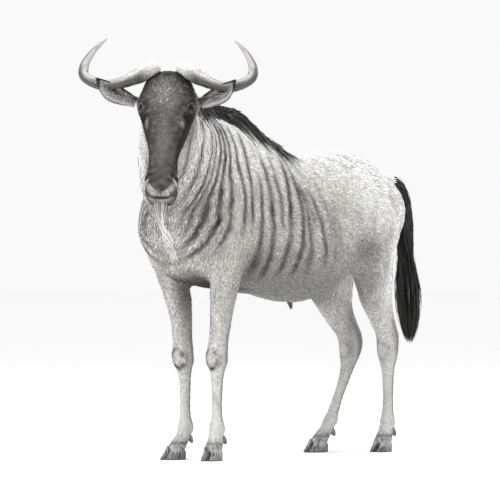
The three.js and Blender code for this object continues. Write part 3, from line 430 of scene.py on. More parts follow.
# s, middle x, y, z and radius of the tail's fleshy dock
dock_at = through([
    [0, 0, 1215, 1118, 34], [1, 0, 1270, 1122, 33], [2, 3, 1326, 1094, 31],
    [3, 8, 1362, 1028, 30], [4, 14, 1374, 940, 26], [5, 20, 1378, 850, 20],
])


def dock(s, angle, grow=0):
    """Points of the dock, square to its line."""
    s, angle = np.broadcast_arrays(np.asarray(s, float), angle)
    x, y, z, radius = dock_at(s)
    step = dock_at(np.minimum(s + 0.1, 5)) - dock_at(np.maximum(s - 0.1, 0))
    tilt = np.arctan2(step[1], -step[2])
    out, back = np.sin(angle) * (radius + grow), np.cos(angle) * (radius + grow)
    return np.stack([x + out, y + back * np.cos(tilt), z + back * np.sin(tilt)], -1)


# %% [markdown]
# ## One skin
# Real skin has no seam where a leg leaves the trunk. The tubes are joined by a voxel remesh, which fuses
# them and rounds every meeting, and the places with fine forms are then divided further. After that the
# skin is sculpted by fields: sums of soft bumps and grooves that push each point along its normal.

# %% Fused skin
VOXEL = 0.0115  # metres
trunk_rows = np.r_[
    CHEST_FRONT + CHEST_DOME * (1 - np.cos(np.linspace(0.1, 1.57, 14))),
    np.linspace(-30, 1200, 84),
    RUMP_END - RUMP_DOME * (1 - np.cos(np.linspace(1.57, 0.1, 10))),
]
head_rows = np.r_[-33, np.linspace(-28, 536, 110), 541, 544.5, 546]
forms = [
    shell(trunk(trunk_rows[:, None], turn(90))),
    shell(neck(np.linspace(0.4, 5.7, 60)[:, None], turn(80))),
    shell(head_form(head_rows[:, None], turn(100))),
    shell(dock(np.linspace(0, 4.6, 40)[:, None], turn(30))),
]
for stance in STANCES.values():
    top = 990 if stance[0] is FORELEG else 1110
    forms.append(shell(leg(stance, np.linspace(top, HIDDEN_END, 130)[:, None], turn(44))))
points, faces = joined(forms)
skin = mesh_object("wildebeest_skin", placed(points), faces)
bpy.ops.object.select_all(action="DESELECT")
bpy.context.view_layer.objects.active = skin
skin.select_set(True)
skin.data.remesh_voxel_size = VOXEL
skin.data.use_remesh_preserve_volume = True
bpy.ops.object.voxel_remesh()
print("fused skin:", len(skin.data.vertices), "points")


# %% Finer where the forms are fine
def read(things, key, width, kind=np.float32):
    """One value of all points, edges, faces or loops of a mesh, in rows."""
    flat = np.empty(len(things) * width, kind)
    things.foreach_get(key, flat)
    return flat.reshape(-1, width)


def on_animal(points):
    """Metres in the frame to millimetres on the animal's axes."""
    return points.astype(float) * 1000 + FOOTPRINT_MIDDLE


def points_of(mesh):
    return on_animal(read(mesh.vertices, "co", 3))


def normals_of(mesh):
    return read(mesh.vertices, "normal", 3).astype(float)


def edges_of(mesh):
    return read(mesh.edges, "vertices", 2, np.int32)


def relaxed(points, edges, weight, rounds, pushes=(0.52, -0.54)):
    """Move points towards their neighbours' mean and back again, which smooths without loss of bulk."""
    count = np.bincount(edges.ravel(), minlength=len(points))[:, None]
    for push in pushes * rounds:
        total = np.stack([
            np.bincount(edges[:, 0], points[edges[:, 1], k], len(points))
            + np.bincount(edges[:, 1], points[edges[:, 0], k], len(points))
            for k in range(3)
        ], -1)
        points = points + push * weight[:, None] * (total / count - points)
    return points


def set_points(mesh, points):
    mesh.vertices.foreach_set("co", placed(points).astype(np.float32).ravel())
    mesh.update()


def divide(thing, near):
    """Divide the faces whose middles a test picks."""
    mesh = thing.data
    picked = near(on_animal(read(mesh.polygons, "center", 3)))
    for part, flags in (("vertices", 0), ("edges", 0), ("polygons", picked)):
        things = getattr(mesh, part)
        things.foreach_set("select", np.broadcast_to(flags, len(things)).astype(bool))
    bpy.ops.object.mode_set(mode="EDIT")
    bpy.context.tool_settings.mesh_select_mode = (False, False, True)
    bpy.ops.mesh.subdivide(number_cuts=1, smoothness=0)
    bpy.ops.object.mode_set(mode="OBJECT")


def head_part(points):
    """1 on the head, 0 on the neck behind it."""
    across, level, t = to_head(points)
    inside = (t > -60) & (t < 600) & (np.abs(across) < 150) & (level > -250 + 0.2 * np.maximum(t - 200, 0))
    return inside & (points[:, 1] < -230 + 0.1 * (points[:, 2] - 1300))


def fine_face(points):
    """The eyes and the muzzle."""
    across, level, t = to_head(points)
    eyes = (np.abs(t - 155) < 44) & (level > -84) & (np.abs(across) > 48)
    return head_part(points) & ((t > 408) | eyes)


def tucked(points):
    """The buttocks drawn in towards the thighs below the tail, so that the one runs into the other."""
    z = points[:, 2]
    back = np.interp(z, [700, 850, 900, 960, 1040, 1120], [1170, 1190, 1218, 1248, 1276, 1300])
    over = np.maximum(points[:, 1] - back, 0) * (points[:, 1] < 1292)  # not on the tail
    over = over * (z > 780) * (1 - smooth(z, 1040, 1120))
    return points - np.stack([0 * z, over, 0 * z], -1)


def body_smooth(points):
    """How strongly the fused forms are smoothed: least on the legs and the head."""
    return np.where(points[:, 2] < 560, 0.12, 1.0) * np.where(head_part(points), 0.25, 1.0)


skin_points = tucked(points_of(skin.data))
x, y, z = skin_points.T
crease = bell(y, 1205, 60) * bell(z, 865, 65) * (np.abs(x) > 8)  # between the buttock and the thigh
skin_points = relaxed(skin_points, edges_of(skin.data), np.minimum(2 * crease, 1), 16, (0.5,))
skin_points = relaxed(skin_points, edges_of(skin.data), body_smooth(skin_points), 16)
set_points(skin.data, skin_points)
divide(skin, lambda p: head_part(p) | (p[:, 2] < 500))
divide(skin, fine_face)
everywhere = np.ones(len(skin.data.vertices))
set_points(skin.data, relaxed(points_of(skin.data), edges_of(skin.data), everywhere, 3))
print("divided skin:", len(skin.data.vertices), "points")


# %% [markdown]
# ## The sculpted skin
# Over the fused tubes lie the forms that make an animal: the rim of the eye socket, the wings of the
# nostrils, the lips, tendons and the edges of muscles. Each is a field in millimetres, high where the skin
# stands out and low where it sinks in, and every point moves along its own normal by the sum. Last, the
# whole skin moves in by the depth of the coat that will cover it.


# %% Fields of the face
EYE_MIDDLE, EYE_RADIUS = np.array([86.0, -40.0, 150.0]), 17.0  # across, level and t in the head
EYE_OUTWARD = unit(np.array([0.74, 0.66, -0.12]))
# s, then across, level and t along the slit
NOSTRIL = through([
    [0, 49, -6, 443], [1, 58, -14, 448], [2, 65, -30, 459], [3, 67, -48, 474], [4, 64, -60, 488],
])


def half_head(points):
    """The head's own axes, with both sides laid on the left one."""
    across, level, t = to_head(points)
    return np.stack([np.abs(across), level, t], -1)


def from_eye(half):
    """How far points lie out from the middle of the eye, and how far from its axis."""
    gap = half - EYE_MIDDLE
    deep = gap @ EYE_OUTWARD
    return deep, np.linalg.norm(gap - deep[:, None] * EYE_OUTWARD, axis=1)


def beside_nostril(half, count=24):
    """Distance to the nostril's slit, and how far along it the nearest place is, from 0 to 1."""
    points, spots = half, np.stack(NOSTRIL(np.linspace(0, 4, count)), -1)
    gaps = np.linalg.norm(points[:, None] - spots[None], axis=2)
    return gaps.min(1), gaps.argmin(1) / (count - 1)


def face_field(points):
    """Millimetres that the skin of the head moves out."""
    half = half_head(points)
    across, level, t = half.T
    deep, ring = from_eye(half)
    by_eye = smooth(deep, -30, -12)
    over = smooth(150 - t, -16, 14)
    move = -12.0 * by_eye * (1 - smooth(ring, 13, 23))
    move += by_eye * bell(ring, 30, 8) * (1.0 + 4.0 * over)
    move -= 2.5 * by_eye * bell(ring, 42, 6) * over
    move -= 5.0 * bell(t, 196, 16) * bell(level, -38, 9) * smooth(across, 50, 70)  # pit of the gland
    move -= 2.0 * bell(across, 34, 12) * bell(t, 240, 80)  # hollow beside the ridge of the nose
    move += 2.0 * bell(across, 0, 20) * smooth(t, 60, 120) * (1 - smooth(t, 400, 450))
    move += 3.0 * bell(level, -96, 9) * bell(t, 240, 70)  # edge of the cheek
    move -= 3.0 * bell(level, -118, 12) * bell(t, 290, 60)
    near, way = beside_nostril(half)
    wide = 7.5 - 4.5 * way
    move -= (15 - 8 * way) * (1 - smooth(near, wide * 0.45, wide * 1.5))
    move += 3.0 * bell(near, 15, 5) * (1 - 0.6 * way)
    lip = below_mouth(t, level)
    mouth = smooth(t, 428, 452) * (level > -116)
    middle = 1 - 0.75 * smooth(across, 24, 44)
    move -= 6.0 * mouth * bell(lip, 0, 3.0) * middle
    move += 3.0 * mouth * (bell(lip, -9, 6) + bell(lip, 10, 6)) * middle
    move -= 4.0 * smooth(across, 40, 58) * bell(t, 485, 45)  # narrow lips
    move -= 2.5 * bell(across, 0, 3.0) * smooth(t, 500, 522) * smooth(-lip, 0, 4)  # the cleft of the lip
    return move * head_part(points)


# %% Fields of the body and the legs
def stance_of(points, name):
    """Which points belong to a lower leg, and where they lie on it: ahead and outwards from -1 to 1."""
    stance = STANCES[name]
    table, side = stance[:2]
    fore = points[:, 1] < 520
    mine = (points[:, 2] < 700) & (points[:, 0] * side > 0) & (fore == (table is FORELEG))
    z = points[:, 2]
    y, x, long, wide, _, _ = table(np.clip(z, CORONET, 1000))
    ahead = -(points[:, 1] - y - shift_at(stance, z)) / long
    return mine, ahead, (points[:, 0] * side - x) / wide


def leg_field(points):
    """Tendons behind the cannon bones, and the bones of the knees and hocks."""
    z = points[:, 2]
    move = np.zeros(len(points))
    for name in STANCES:
        mine, ahead, out = stance_of(points, name)
        cannon = smooth(z, 130, 175) * (1 - smooth(z, 300, 345))
        move -= mine * 2.6 * cannon * bell(ahead, -0.3, 0.22) * np.abs(out)
        if name.startswith("fore"):
            move += mine * 2.5 * bell(z, 388, 16) * smooth(ahead, 0, 0.6)
            move += mine * 2.0 * bell(z, 424, 12) * smooth(ahead, 0, 0.6)
            move += mine * 3.0 * bell(z, 398, 14) * smooth(-ahead, 0.3, 0.9)
            move -= mine * 2.5 * bell(ahead, -0.1, 0.25) * smooth(z, 450, 520) * np.abs(out)
        else:
            move -= mine * 5.0 * smooth(z, 425, 500) * bell(ahead, -0.42, 0.2) * np.abs(out)
            move += mine * 2.5 * bell(z, 402, 16) * bell(ahead, 0.1, 0.4) * np.abs(out)
        move += mine * 2.5 * bell(z, 118, 12) * smooth(-ahead, 0.2, 0.9)
        move -= mine * 2.0 * bell(z, 88, 8) * smooth(-ahead, 0.0, 0.9)
    return move


def body_field(points):
    """Muscles, ribs and folds of the trunk and the neck."""
    x, y, z = np.abs(points[:, 0]), points[:, 1], points[:, 2]
    side = smooth(x, 70, 150)
    ribs = np.sin((y - 0.25 * (z - 900)) / 58 * 2 * np.pi) * bell(y, 520, 190) * bell(z, 930, 150)
    move = 1.6 * side * ribs
    move += 5.0 * side * bell(y + 0.35 * (z - 1000), 30, 26) * bell(z, 1090, 110)  # spine of the blade
    move -= 5.0 * side * bell(y, 168, 26) * bell(z, 960, 120)  # behind the shoulder
    move -= 6.0 * side * bell(y - 0.5 * (z - 800), 118, 20) * bell(z, 790, 70)  # crease over the elbow
    move += 4.0 * side * bell(y, 95, 30) * bell(z, 742, 34)  # point of the elbow
    fold = y - 865 + 0.75 * (z - 760)
    move += 5.0 * side * bell(fold, 0, 22) * bell(z, 760, 70)  # fold from the flank to the knee
    move -= 5.0 * side * bell(fold, 48, 20) * bell(z, 790, 80)
    move -= 4.0 * side * bell(y, 1120, 22) * bell(z, 900, 130)  # between the two muscles of the thigh
    move += 2.0 * noise(points, 120, 3) + 1.0 * noise(points, 45, 4)
    return move * (1 - head_part(points)) * smooth(z, 480, 600)


def coat_depth(points):
    """How far the skin lies under the tips of the short coat."""
    t = to_head(points)[2]
    body = 5.0 * smooth(points[:, 2], 420, 700) + 2.0 * (1 - smooth(points[:, 2], 420, 700))
    bare = head_part(points) * smooth(t, 20, 120)
    return body * (1 - bare) + (2.2 - 1.4 * smooth(t, 420, 470)) * bare


def divide_detail(points):
    """Nostrils, lips and the rims of the eyes."""
    half = half_head(points)
    near, _ = beside_nostril(half, 8)
    _, level, t = half.T
    lips = (np.abs(below_mouth(t, level)) < 12) & (t > 430) & (level > -118)
    eye = np.linalg.norm(half - EYE_MIDDLE, axis=1) < 34
    return head_part(points) & ((near < 20) | lips | eye)


divide(skin, divide_detail)
everywhere = np.ones(len(skin.data.vertices))
set_points(skin.data, relaxed(points_of(skin.data), edges_of(skin.data), everywhere, 2))
skin_points, out = points_of(skin.data), normals_of(skin.data)
move = face_field(skin_points) + leg_field(skin_points) + body_field(skin_points) - coat_depth(skin_points)
skin_points = skin_points + out * move[:, None]
set_points(skin.data, skin_points)
print("sculpted skin:", len(skin.data.polygons), "faces,", len(skin_points), "points")


# %% Unwrapped skin
# The coat takes its colours to the finished model through this unwrap, so every tuft later gets a patch
# at its root's place on it.
bpy.ops.object.mode_set(mode="EDIT")
bpy.ops.mesh.select_all(action="SELECT")
bpy.ops.mesh.quads_convert_to_tris()
skin.data.uv_layers.new(name="OFBake")
bpy.ops.uv.smart_project(angle_limit=1.15, island_margin=0.001)  # islands of up to 66 degrees
bpy.ops.object.mode_set(mode="OBJECT")
skin.data.polygons.foreach_set("use_smooth", np.ones(len(skin.data.polygons), bool))
skin_faces = read(skin.data.polygons, "vertices", 3, np.int32)
skin_uv = read(skin.data.uv_layers["OFBake"].data, "uv", 2).reshape(-1, 3, 2)
skin_out = normals_of(skin.data)
print("unwrapped skin:", len(skin_faces), "triangles")


# %% [markdown]
# ## Markings
# A blue wildebeest is silver-grey, with a black mask, mane and tail, and dark bands that run down the neck
# and the flank. The bands are not painted on: they are worked out in space, from a distance along the body
# that leans and turns as the bands do. So skin and coat read the same colours from one function. The same
# function paints shade into them under the belly, between and behind the forelegs, at the fold of the flank,
# behind the thighs and beside the beard, paints shade and highlights on the face, and shade down the legs.


# %% Colours
def linear(code):
    """An sRGB hex value as a linear colour."""
    value = np.array([int(code[i : i + 2], 16) / 255 for i in (1, 3, 5)])
    return np.where(value <= 0.04045, value / 12.92, ((value + 0.055) / 1.055) ** 2.4)


# some of these colours also serve as painted shade and painted highlights, as said where they are used
SILVER, SLATE, MID_GREY, BAND = linear("#e8e7e4"), linear("#b8b6b2"), linear("#8b8986"), linear("#242322")
MASK, MASK_GREY, PALE_GREY, INK = linear("#302e2d"), linear("#787572"), linear("#b5b2ae"), linear("#0d0d0c")
LEG_GREY, LEG_DARK = linear("#bfbdb9"), linear("#33312f")
# each band: its place along the body at a height of 900 mm, how far it leans and bows back for each metre
# up, how dark it is, and the heights that it fades at
BAND_LEVEL, BAND_GAP, BAND_FADE = 900, 6, 50
BANDS = [
    (-250, -0.03, 0, 0.8, 1110, 1400), (-243, 0.15, 0, 0.75, 1010, 1400), (-222, 0.28, 0, 1.0, 900, 1400),
    (-203, 0.33, 0, 0.7, 870, 1400), (-172, 0.345, 0, 1.0, 830, 1400), (-130, 0.30, 0, 1.0, 790, 1400),
    (-79, 0.235, 0, 1.0, 830, 1400), (3, 0.05, 0.25, 0.85, 910, 1330), (55, -0.02, 0.52, 0.9, 930, 1300),
    (123, 0, 0.5, 1.0, 770, 1120), (200, -0.035, 0.2, 1.0, 720, 1200), (266, -0.1, 0.3, 0.75, 920, 1200),
    (305, 0.054, 0.17, 1.0, 740, 1190), (380, 0, 0, 1.0, 740, 1160), (425, -0.15, 0, 0.75, 750, 1110),
    (462, -0.3, 0, 0.55, 930, 1080), (501, -0.34, 0, 0.75, 770, 1070), (552, -0.25, 0, 0.4, 850, 1110),
    (580, -0.2, 0, 0.45, 780, 1000), (612, -0.2, 0, 0.35, 820, 980),
]


def band_lines(points):
    """Where each band runs along the body at the height of each point, in order: a line with a bow."""
    lines = []
    for place, lean, bow, _, low, high in BANDS:
        rise = (np.clip(points[:, 2], low, high) - BAND_LEVEL) / 1000
        line = place + 1000 * (lean * rise + bow * rise**2)
        lines.append(np.maximum(line, lines[-1] + BAND_GAP) if lines else line)
    return lines


def along_body(points):
    """A measure along the body that stays the same down each band: the share of the way between two."""
    lines = band_lines(points)
    y = points[:, 1]
    s = np.where(y < lines[0], (y - lines[0]) / 50, 0.0)
    for before, after in zip(lines, lines[1:]):
        s = s + np.clip((y - before) / (after - before), 0, 1)
    return s + np.maximum(y - lines[-1], 0) / 50


def band_strength(points):
    """How dark the bands are at each point, from 0 to 1."""
    _, y, z = points.T
    sway = 4 * noise(points, 90, 11) + 2 * noise(points, 30, 12)
    wide = np.interp(y, [-200, 0, 200], [8.5, 11, 14.5]) * np.interp(z, [750, 1000, 1300], [1.2, 1.0, 0.8])
    dark = np.zeros(len(points))
    for line, (_, _, _, strength, low, high) in zip(band_lines(points), BANDS):
        ends = smooth(z, low - BAND_FADE, low + BAND_FADE)
        ends = ends * (1 - smooth(z, high - BAND_FADE, high + BAND_FADE))
        dark = np.maximum(dark, strength * ends * bell(y + sway, line, wide))
    uneven = 0.85 + 0.15 * noise(points, 60, 13)
    return np.clip(1.2 * dark, 0, 1) * uneven * (1 - throat(points, 45, 110))


def throat(points, inner, outer):
    """1 on the front of the breast and the throat, fading between two distances from their middle line."""
    x, y, z = points.T
    middle = np.interp(z, [1000, 1250], [8, 80])
    front = (1 - smooth(y, -190, -120)) * smooth(z, 800, 880) * (1 - smooth(z, 1280, 1360))
    return front * (1 - smooth(np.abs(x - middle), inner, outer))


def painted(color, *coats):
    """A colour with others laid over it in turn, each by its share at each point."""
    for other, share in coats:
        color = color + (np.asarray(other) - color) * np.clip(share, 0, 1)[:, None]
    return color


def face_colors(points):
    """The mask: black from the poll to the lips, with a paler whorl on the forehead, and painted highlights
    and painted shade round the lips, the nostrils and the eyes and on the sides of the face.
    """
    half = half_head(points)
    across, level, t = half.T
    drop = 0.9135 * t - 0.4067 * level  # how far under the poll, with the head as it is tilted
    edge = np.interp(t, [60, 110, 150, 220], [-62, -66, -98, -112])
    front, middle = smooth(level - edge, -22, 14), smooth(level, -40, -8)
    # the lips: painted highlights on their sides, which meet in a V under the dark pad of the nose, and
    # painted shade at the corners of the mouth
    pad = np.interp(across, [0, 20, 35, 46, 60], [479, 466, 452, 440, 440])
    gape = np.interp(across, [0, 30, 51, 62], [491, 489, 470, 456])
    upper = smooth(drop - pad, -9, 9) * (1 - smooth(drop - gape, -9, 3)) * smooth(t, 440, 462)
    sides = (0.5 + 0.5 * smooth(across, 4, 26)) * (1 - 0.7 * smooth(across, 46, 62))
    rough = 0.72 + 0.5 * noise(points, 7, 16) + 0.3 * noise(points, 14, 19)
    lower = bell(drop, 509 - 0.006 * across**2, 6) * (1 - smooth(across, 42, 58)) * smooth(t, 470, 500)
    lip = below_mouth(t, level)
    mouth = smooth(t, 430, 450) * bell(lip, 0, 3.4) * (level > -116) * (0.9 - 0.75 * smooth(across, 20, 42))
    corner = smooth(across, 40, 56) * bell(drop, 486, 26) * smooth(t, 440, 460)
    near, way = beside_nostril(half, 10)
    inner = smooth(level - 0.3 * (60 - across), -44, -26) * smooth(t, 432, 450)
    rim = bell(near, 16, 3.6) * inner * smooth(way, 0.0, 0.25) * (1 - smooth(way, 0.5, 0.9))
    eye, above_eye = np.linalg.norm(half - EYE_MIDDLE, axis=1), smooth(150 - t, -6, 10)
    return painted(
        SLATE,
        (MASK, 0.45 + 0.55 * front),
        (MASK, smooth(t, 380, 430)),
        (MASK_GREY * 1.35, 0.95 * middle * bell(across, 0, 58) * bell(t, 110, 75)),  # forehead
        (MASK_GREY, 0.8 * middle * bell(across, 0, 34) * bell(t, 280, 150)),  # ridge of the nose
        (MASK_GREY, 0.35 * middle * (0.5 + noise(points, 22, 14))),
        # edge of the mask: painted shade along the sides of the face, where they turn away from the front
        (INK, 0.75 * smooth(t, 160, 190) * (1 - smooth(t, 380, 420)) * bell(level, -42, 18)),
        (INK, 0.6 * smooth(20 - t, -30, 30) * front),  # poll
        (PALE_GREY, 0.55 * bell(t, 218, 17) * bell(across, 70, 7) * smooth(level, -40, -18)),  # pale crescent
        (INK, 0.9 * bell(t, 190, 15) * smooth(across, 64, 80) * smooth(level, -90, -60)),  # gland
        (MASK_GREY, 0.7 * smooth(drop - pad, -9, 9) * smooth(t, 440, 462)),
        # painted highlight on the upper lip
        (PALE_GREY * 1.15, upper * sides * rough),
        # painted shade under the edge of the upper lip, at its sides
        (INK, 0.8 * bell(across, 40 - 0.9 * (drop - 486), 3.5) * bell(drop, 484, 7) * smooth(t, 450, 470)),
        # painted highlight on the lower lip
        (PALE_GREY, 0.75 * lower * rough),
        (INK, mouth),
        # painted shade at the corners of the mouth
        (MASK, 0.7 * corner),
        (INK, 0.8 * smooth(drop, 514, 519) * smooth(t, 480, 510)),  # chin
        # painted highlight on the wet inner rim of each nostril
        (PALE_GREY * 1.3, 0.95 * rim),
        (INK, 1 - smooth(near, 7 - 3 * way, 12.5 - 6 * way)),  # nostril
        # painted shade in the crease over the eye
        (INK, 0.7 * bell(eye, 38, 5) * above_eye),
        # painted highlight on the roll of skin over the eye
        (MASK_GREY * 1.3, 0.8 * bell(eye, 31, 4) * above_eye),
        (INK, 0.9 * (1 - smooth(eye, 23, 29))),
    )


def leg_colors(points, name, color):
    """A dark ring on the knee, painted shade down the back of the leg and a dark edge over the hoof."""
    mine, ahead, out = stance_of(points, name)
    z = points[:, 2]
    mine = mine * (1 - smooth(z, 460, 640))
    knee, strength = (400, 1.0) if name.startswith("fore") else (418, 0.3)
    ring = bell(np.hypot((z - knee) / 36, out / 0.75), 1, 0.3) * (0.7 + 0.5 * noise(points, 25, 17))
    return painted(
        color,
        (LEG_DARK, mine * strength * ring * smooth(ahead, 0.0, 0.5)),
        # painted shade in a line down the back of the leg, beside the tendons
        (LEG_DARK, mine * 0.55 * bell(ahead, -0.45, 0.3) * smooth(z, 110, 180)),
        # painted shade over the rear of the leg
        (LEG_DARK, mine * 0.45 * smooth(-ahead, 0.4, 0.9)),
        (LEG_DARK, mine * 0.6 * bell(z, 66, 9)),
    )


def markings_and_painted_light(points):
    """Linear colours of skin and coat, with shade and highlights painted into them."""
    x, y, z = points.T
    wide = np.abs(x)
    low = 1 - smooth(z + 0.06 * (y - 500), 690, 930)
    belly = low * smooth(z, 500, 620) * smooth(y, -60, 120) * (1 - smooth(y, 900, 1100))
    between = (1 - smooth(wide, 60, 110)) * smooth(y, -160, -60) * (1 - smooth(y, 150, 330))
    fringe = throat(points, 0, 80) * smooth(z, 860, 1000) * (0.8 + 0.4 * noise(points, 30, 18))
    color = painted(
        SILVER,
        # painted shade: the forehand darker downwards
        (SLATE, 0.9 * smooth(1260 - z, 0, 280) * (1 - smooth(y, 600, 950))),
        # painted shade on the belly
        (MID_GREY * 0.85, 0.95 * belly),
        # painted shade at the fold of the flank, over the stifle
        (MID_GREY * 0.85, bell(y, 860, 150) * bell(z, 830, 100)),  # fold of the flank
        # painted shade on the back of the thighs, below the tail
        (SLATE, 0.4 * smooth(y, 1130, 1250) * smooth(1150 - z, 0, 120)),
        # painted shade between the forelegs
        (BAND, 0.9 * between * smooth(900 - z, 0, 160)),  # between the forelegs
        # painted shade behind the elbow
        (BAND, 0.6 * bell(y, 135, 40) * bell(z, 770, 70) * smooth(wide, 90, 140)),  # behind the elbow
        # the dark fringe of the throat, partly painted shade behind the beard
        (BAND, 0.55 * fringe),
        # painted shade beside the beard
        (BAND, 0.55 * throat(points, 25, 100) * bell(z, 1100, 130)),
        (BAND, 0.95 * band_strength(points)),
        (INK, smooth(y, 1318, 1345)),
        (LEG_GREY, 0.9 * (1 - smooth(z, 470, 690))),
    )
    for name in STANCES:
        color = leg_colors(points, name, color)
    cloud = smooth(noise(points, 60, 15), 0, 1.2)
    color = painted(color, (MID_GREY, 0.35 * cloud * (1 - smooth(z, 1200, 1320))))
    _, level, t = to_head(points)
    onto = head_part(points) * smooth(level + 0.35 * np.maximum(120 - t, 0), -190, -130)
    return color * (1 - onto[:, None]) + face_colors(points) * onto[:, None]


skin_colors = markings_and_painted_light(skin_points)
under_hair = 0.88 - 0.36 * head_part(skin_points)[:, None]  # little light reaches the skin between the hairs
paint(skin.data, skin_colors * under_hair)
print("bands of the body:", len(BANDS))


# %% [markdown]
# ## Materials
# Hair, horn and wet eye all scatter light in their own way. Hair is dull at right angles and catches light
# along its lie, horn is dense keratin with a worn gloss, and an eye is glossy because it is wet. Each
# material is a Principled shader with few values, matched to the real surface.


# %% Materials
def node(made, kind, settings={}, **links):
    """Add a node, set its properties and inputs, and link what is given as an output socket."""
    added = made.node_tree.nodes.new(kind)
    for key, value in settings.items():
        setattr(added, key, value)
    for socket, value in links.items():
        target = added.inputs[socket.replace("_", " ")]
        if isinstance(value, bpy.types.NodeSocket):
            made.node_tree.links.new(value, target)
        else:
            target.default_value = value
    return added


def material(name, roughness, specular):
    """A material whose colour is the attribute coat."""
    made = bpy.data.materials.new(name)
    made.use_nodes = True
    shader = made.node_tree.nodes["Principled BSDF"]
    shader.inputs["Roughness"].default_value = roughness
    shader.inputs["Specular IOR Level"].default_value = specular
    color = node(made, "ShaderNodeVertexColor", {"layer_name": "coat"})
    made.node_tree.links.new(color.outputs["Color"], shader.inputs["Base Color"])
    return made


BUMP_STRENGTH, BUMP_DETAIL = 0.6, 3


def bump(made, scale_mm, depth_mm, stretch=(1, 1, 1)):
    """Relief from noise whose grain is a real size in millimetres."""
    place = node(made, "ShaderNodeTexCoord").outputs["Object"]
    mapped = node(made, "ShaderNodeMapping", Vector=place, Scale=stretch).outputs["Vector"]
    grain = node(made, "ShaderNodeTexNoise", Vector=mapped, Scale=1000 / scale_mm, Detail=BUMP_DETAIL)
    high, depth = grain.outputs["Fac"], depth_mm / 1000
    relief = node(made, "ShaderNodeBump", Height=high, Distance=depth, Strength=BUMP_STRENGTH)
    shader = made.node_tree.nodes["Principled BSDF"]
    made.node_tree.links.new(relief.outputs["Normal"], shader.inputs["Normal"])
    return made


# Short hair seen as a surface: dull, with a grain as wide as a few hairs.
skin_finish = bump(material("short_hair_over_skin", 0.72, 0.25), 3.0, 1.2)
# Short guard hairs: slightly glossy keratin.
coat_finish = material("short_guard_hair", 0.7, 0.2)
# Long black hair of mane and tail: smoother and glossier than the coat.
dark_finish = material("long_black_hair", 0.5, 0.2)
# Long pale hair of the beard: coarse and dull.
pale_finish = material("long_pale_hair", 0.55, 0.35)
# Horn: keratin sheath, worn to a dull gloss, with growth lines.
horn_finish = bump(material("horn_keratin", 0.45, 0.5), 5.0, 0.8)
# Hoof wall: dense keratin, scuffed by the ground.
hoof_finish = bump(material("hoof_keratin", 0.5, 0.45), 4.0, 0.6, stretch=(1, 1, 0.25))
# Eye: a wet, smooth cornea over a dark iris.
eye_finish = material("wet_eye", 0.08, 0.35)
# Eyelid: bare dark skin with a fine grain, a little moist.
lid_finish = bump(material("eyelid_skin", 0.5, 0.4), 2.0, 0.4)


def finish(thing, surface, slot, *nodes):
    """Give a piece its material and its place in the model."""
    thing.data.materials.append(surface)
    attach(thing, "root")
    if nodes:
        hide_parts(*nodes)
    return thing


skin.data.materials.append(skin_finish)
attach(skin, "root")
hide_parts(*FLESH)


# %% [markdown]
# ## Eyes and lids
# The eye of a grazing animal is a large dark ball, set deep at the side of the head, with lids that lie
# close on it. The ball is a sphere with a slightly bulging cornea. Each lid is a surface that runs from
# under the skin, over a soft roll and onto the ball.


# %% Eyes
def ball_frame(side):
    """The middle of the eye and its directions outwards, along the lids and up, on the animal's axes."""
    middle = in_head(side * EYE_MIDDLE[0], EYE_MIDDLE[1], EYE_MIDDLE[2])
    outward = in_head(side * EYE_OUTWARD[0], EYE_OUTWARD[1], EYE_OUTWARD[2]) - in_head(0, 0, 0)
    down = in_head(0, 0, 1) - in_head(0, 0, 0)
    along = unit(np.cross(down, outward))
    return middle, outward, along, np.cross(along, outward)


def eyeball(side, name):
    """A ball whose front bulges into the cornea, coloured as a dark iris with a level pupil."""
    middle, outward, along, high = ball_frame(side)
    polar = np.linspace(0.02, np.pi - 0.02, 60)[:, None]
    u, v = np.sin(polar) * np.cos(turn(72)), np.sin(polar) * np.sin(turn(72))
    w = np.cos(polar) + 0 * u
    radius = EYE_RADIUS - 0.4 + 1.0 * smooth(w, 0.80, 0.93)
    ways = w[..., None] * outward + u[..., None] * along + v[..., None] * high
    points, faces = shell(middle + radius[..., None] * ways)
    a, b = ((points - middle) / EYE_RADIUS @ way for way in (along, high))
    color = painted(
        linear("#170f0a"),
        (linear("#030303"), 1 - smooth(np.hypot(a / 0.42, b / 0.24), 0.85, 1.1)),  # pupil
        (linear("#0d0a09"), smooth(np.hypot(a, b), 0.60, 0.68)),  # round the iris
    )
    finish(mesh_object(f"eye_{name}_ball", placed(points), faces, color), eye_finish, "eye", f"eye_{name}")


# share of the way out from the opening, height over the ball
LID_ROWS = [
    (0.0, -1.5), (0.0, 0.4), (0.03, 1.3), (0.10, 2.1), (0.2, 2.7), (0.32, 2.8), (0.42, 2.7),
    (0.52, 2.7), (0.64, 2.8), (0.76, 2.5), (0.88, 1.5), (1.0, -0.4), (1.1, -4.0),
]
LID_SIDES, LID_BEND = 96, 1.45  # the lid follows the ball for so many radians and then runs on straight


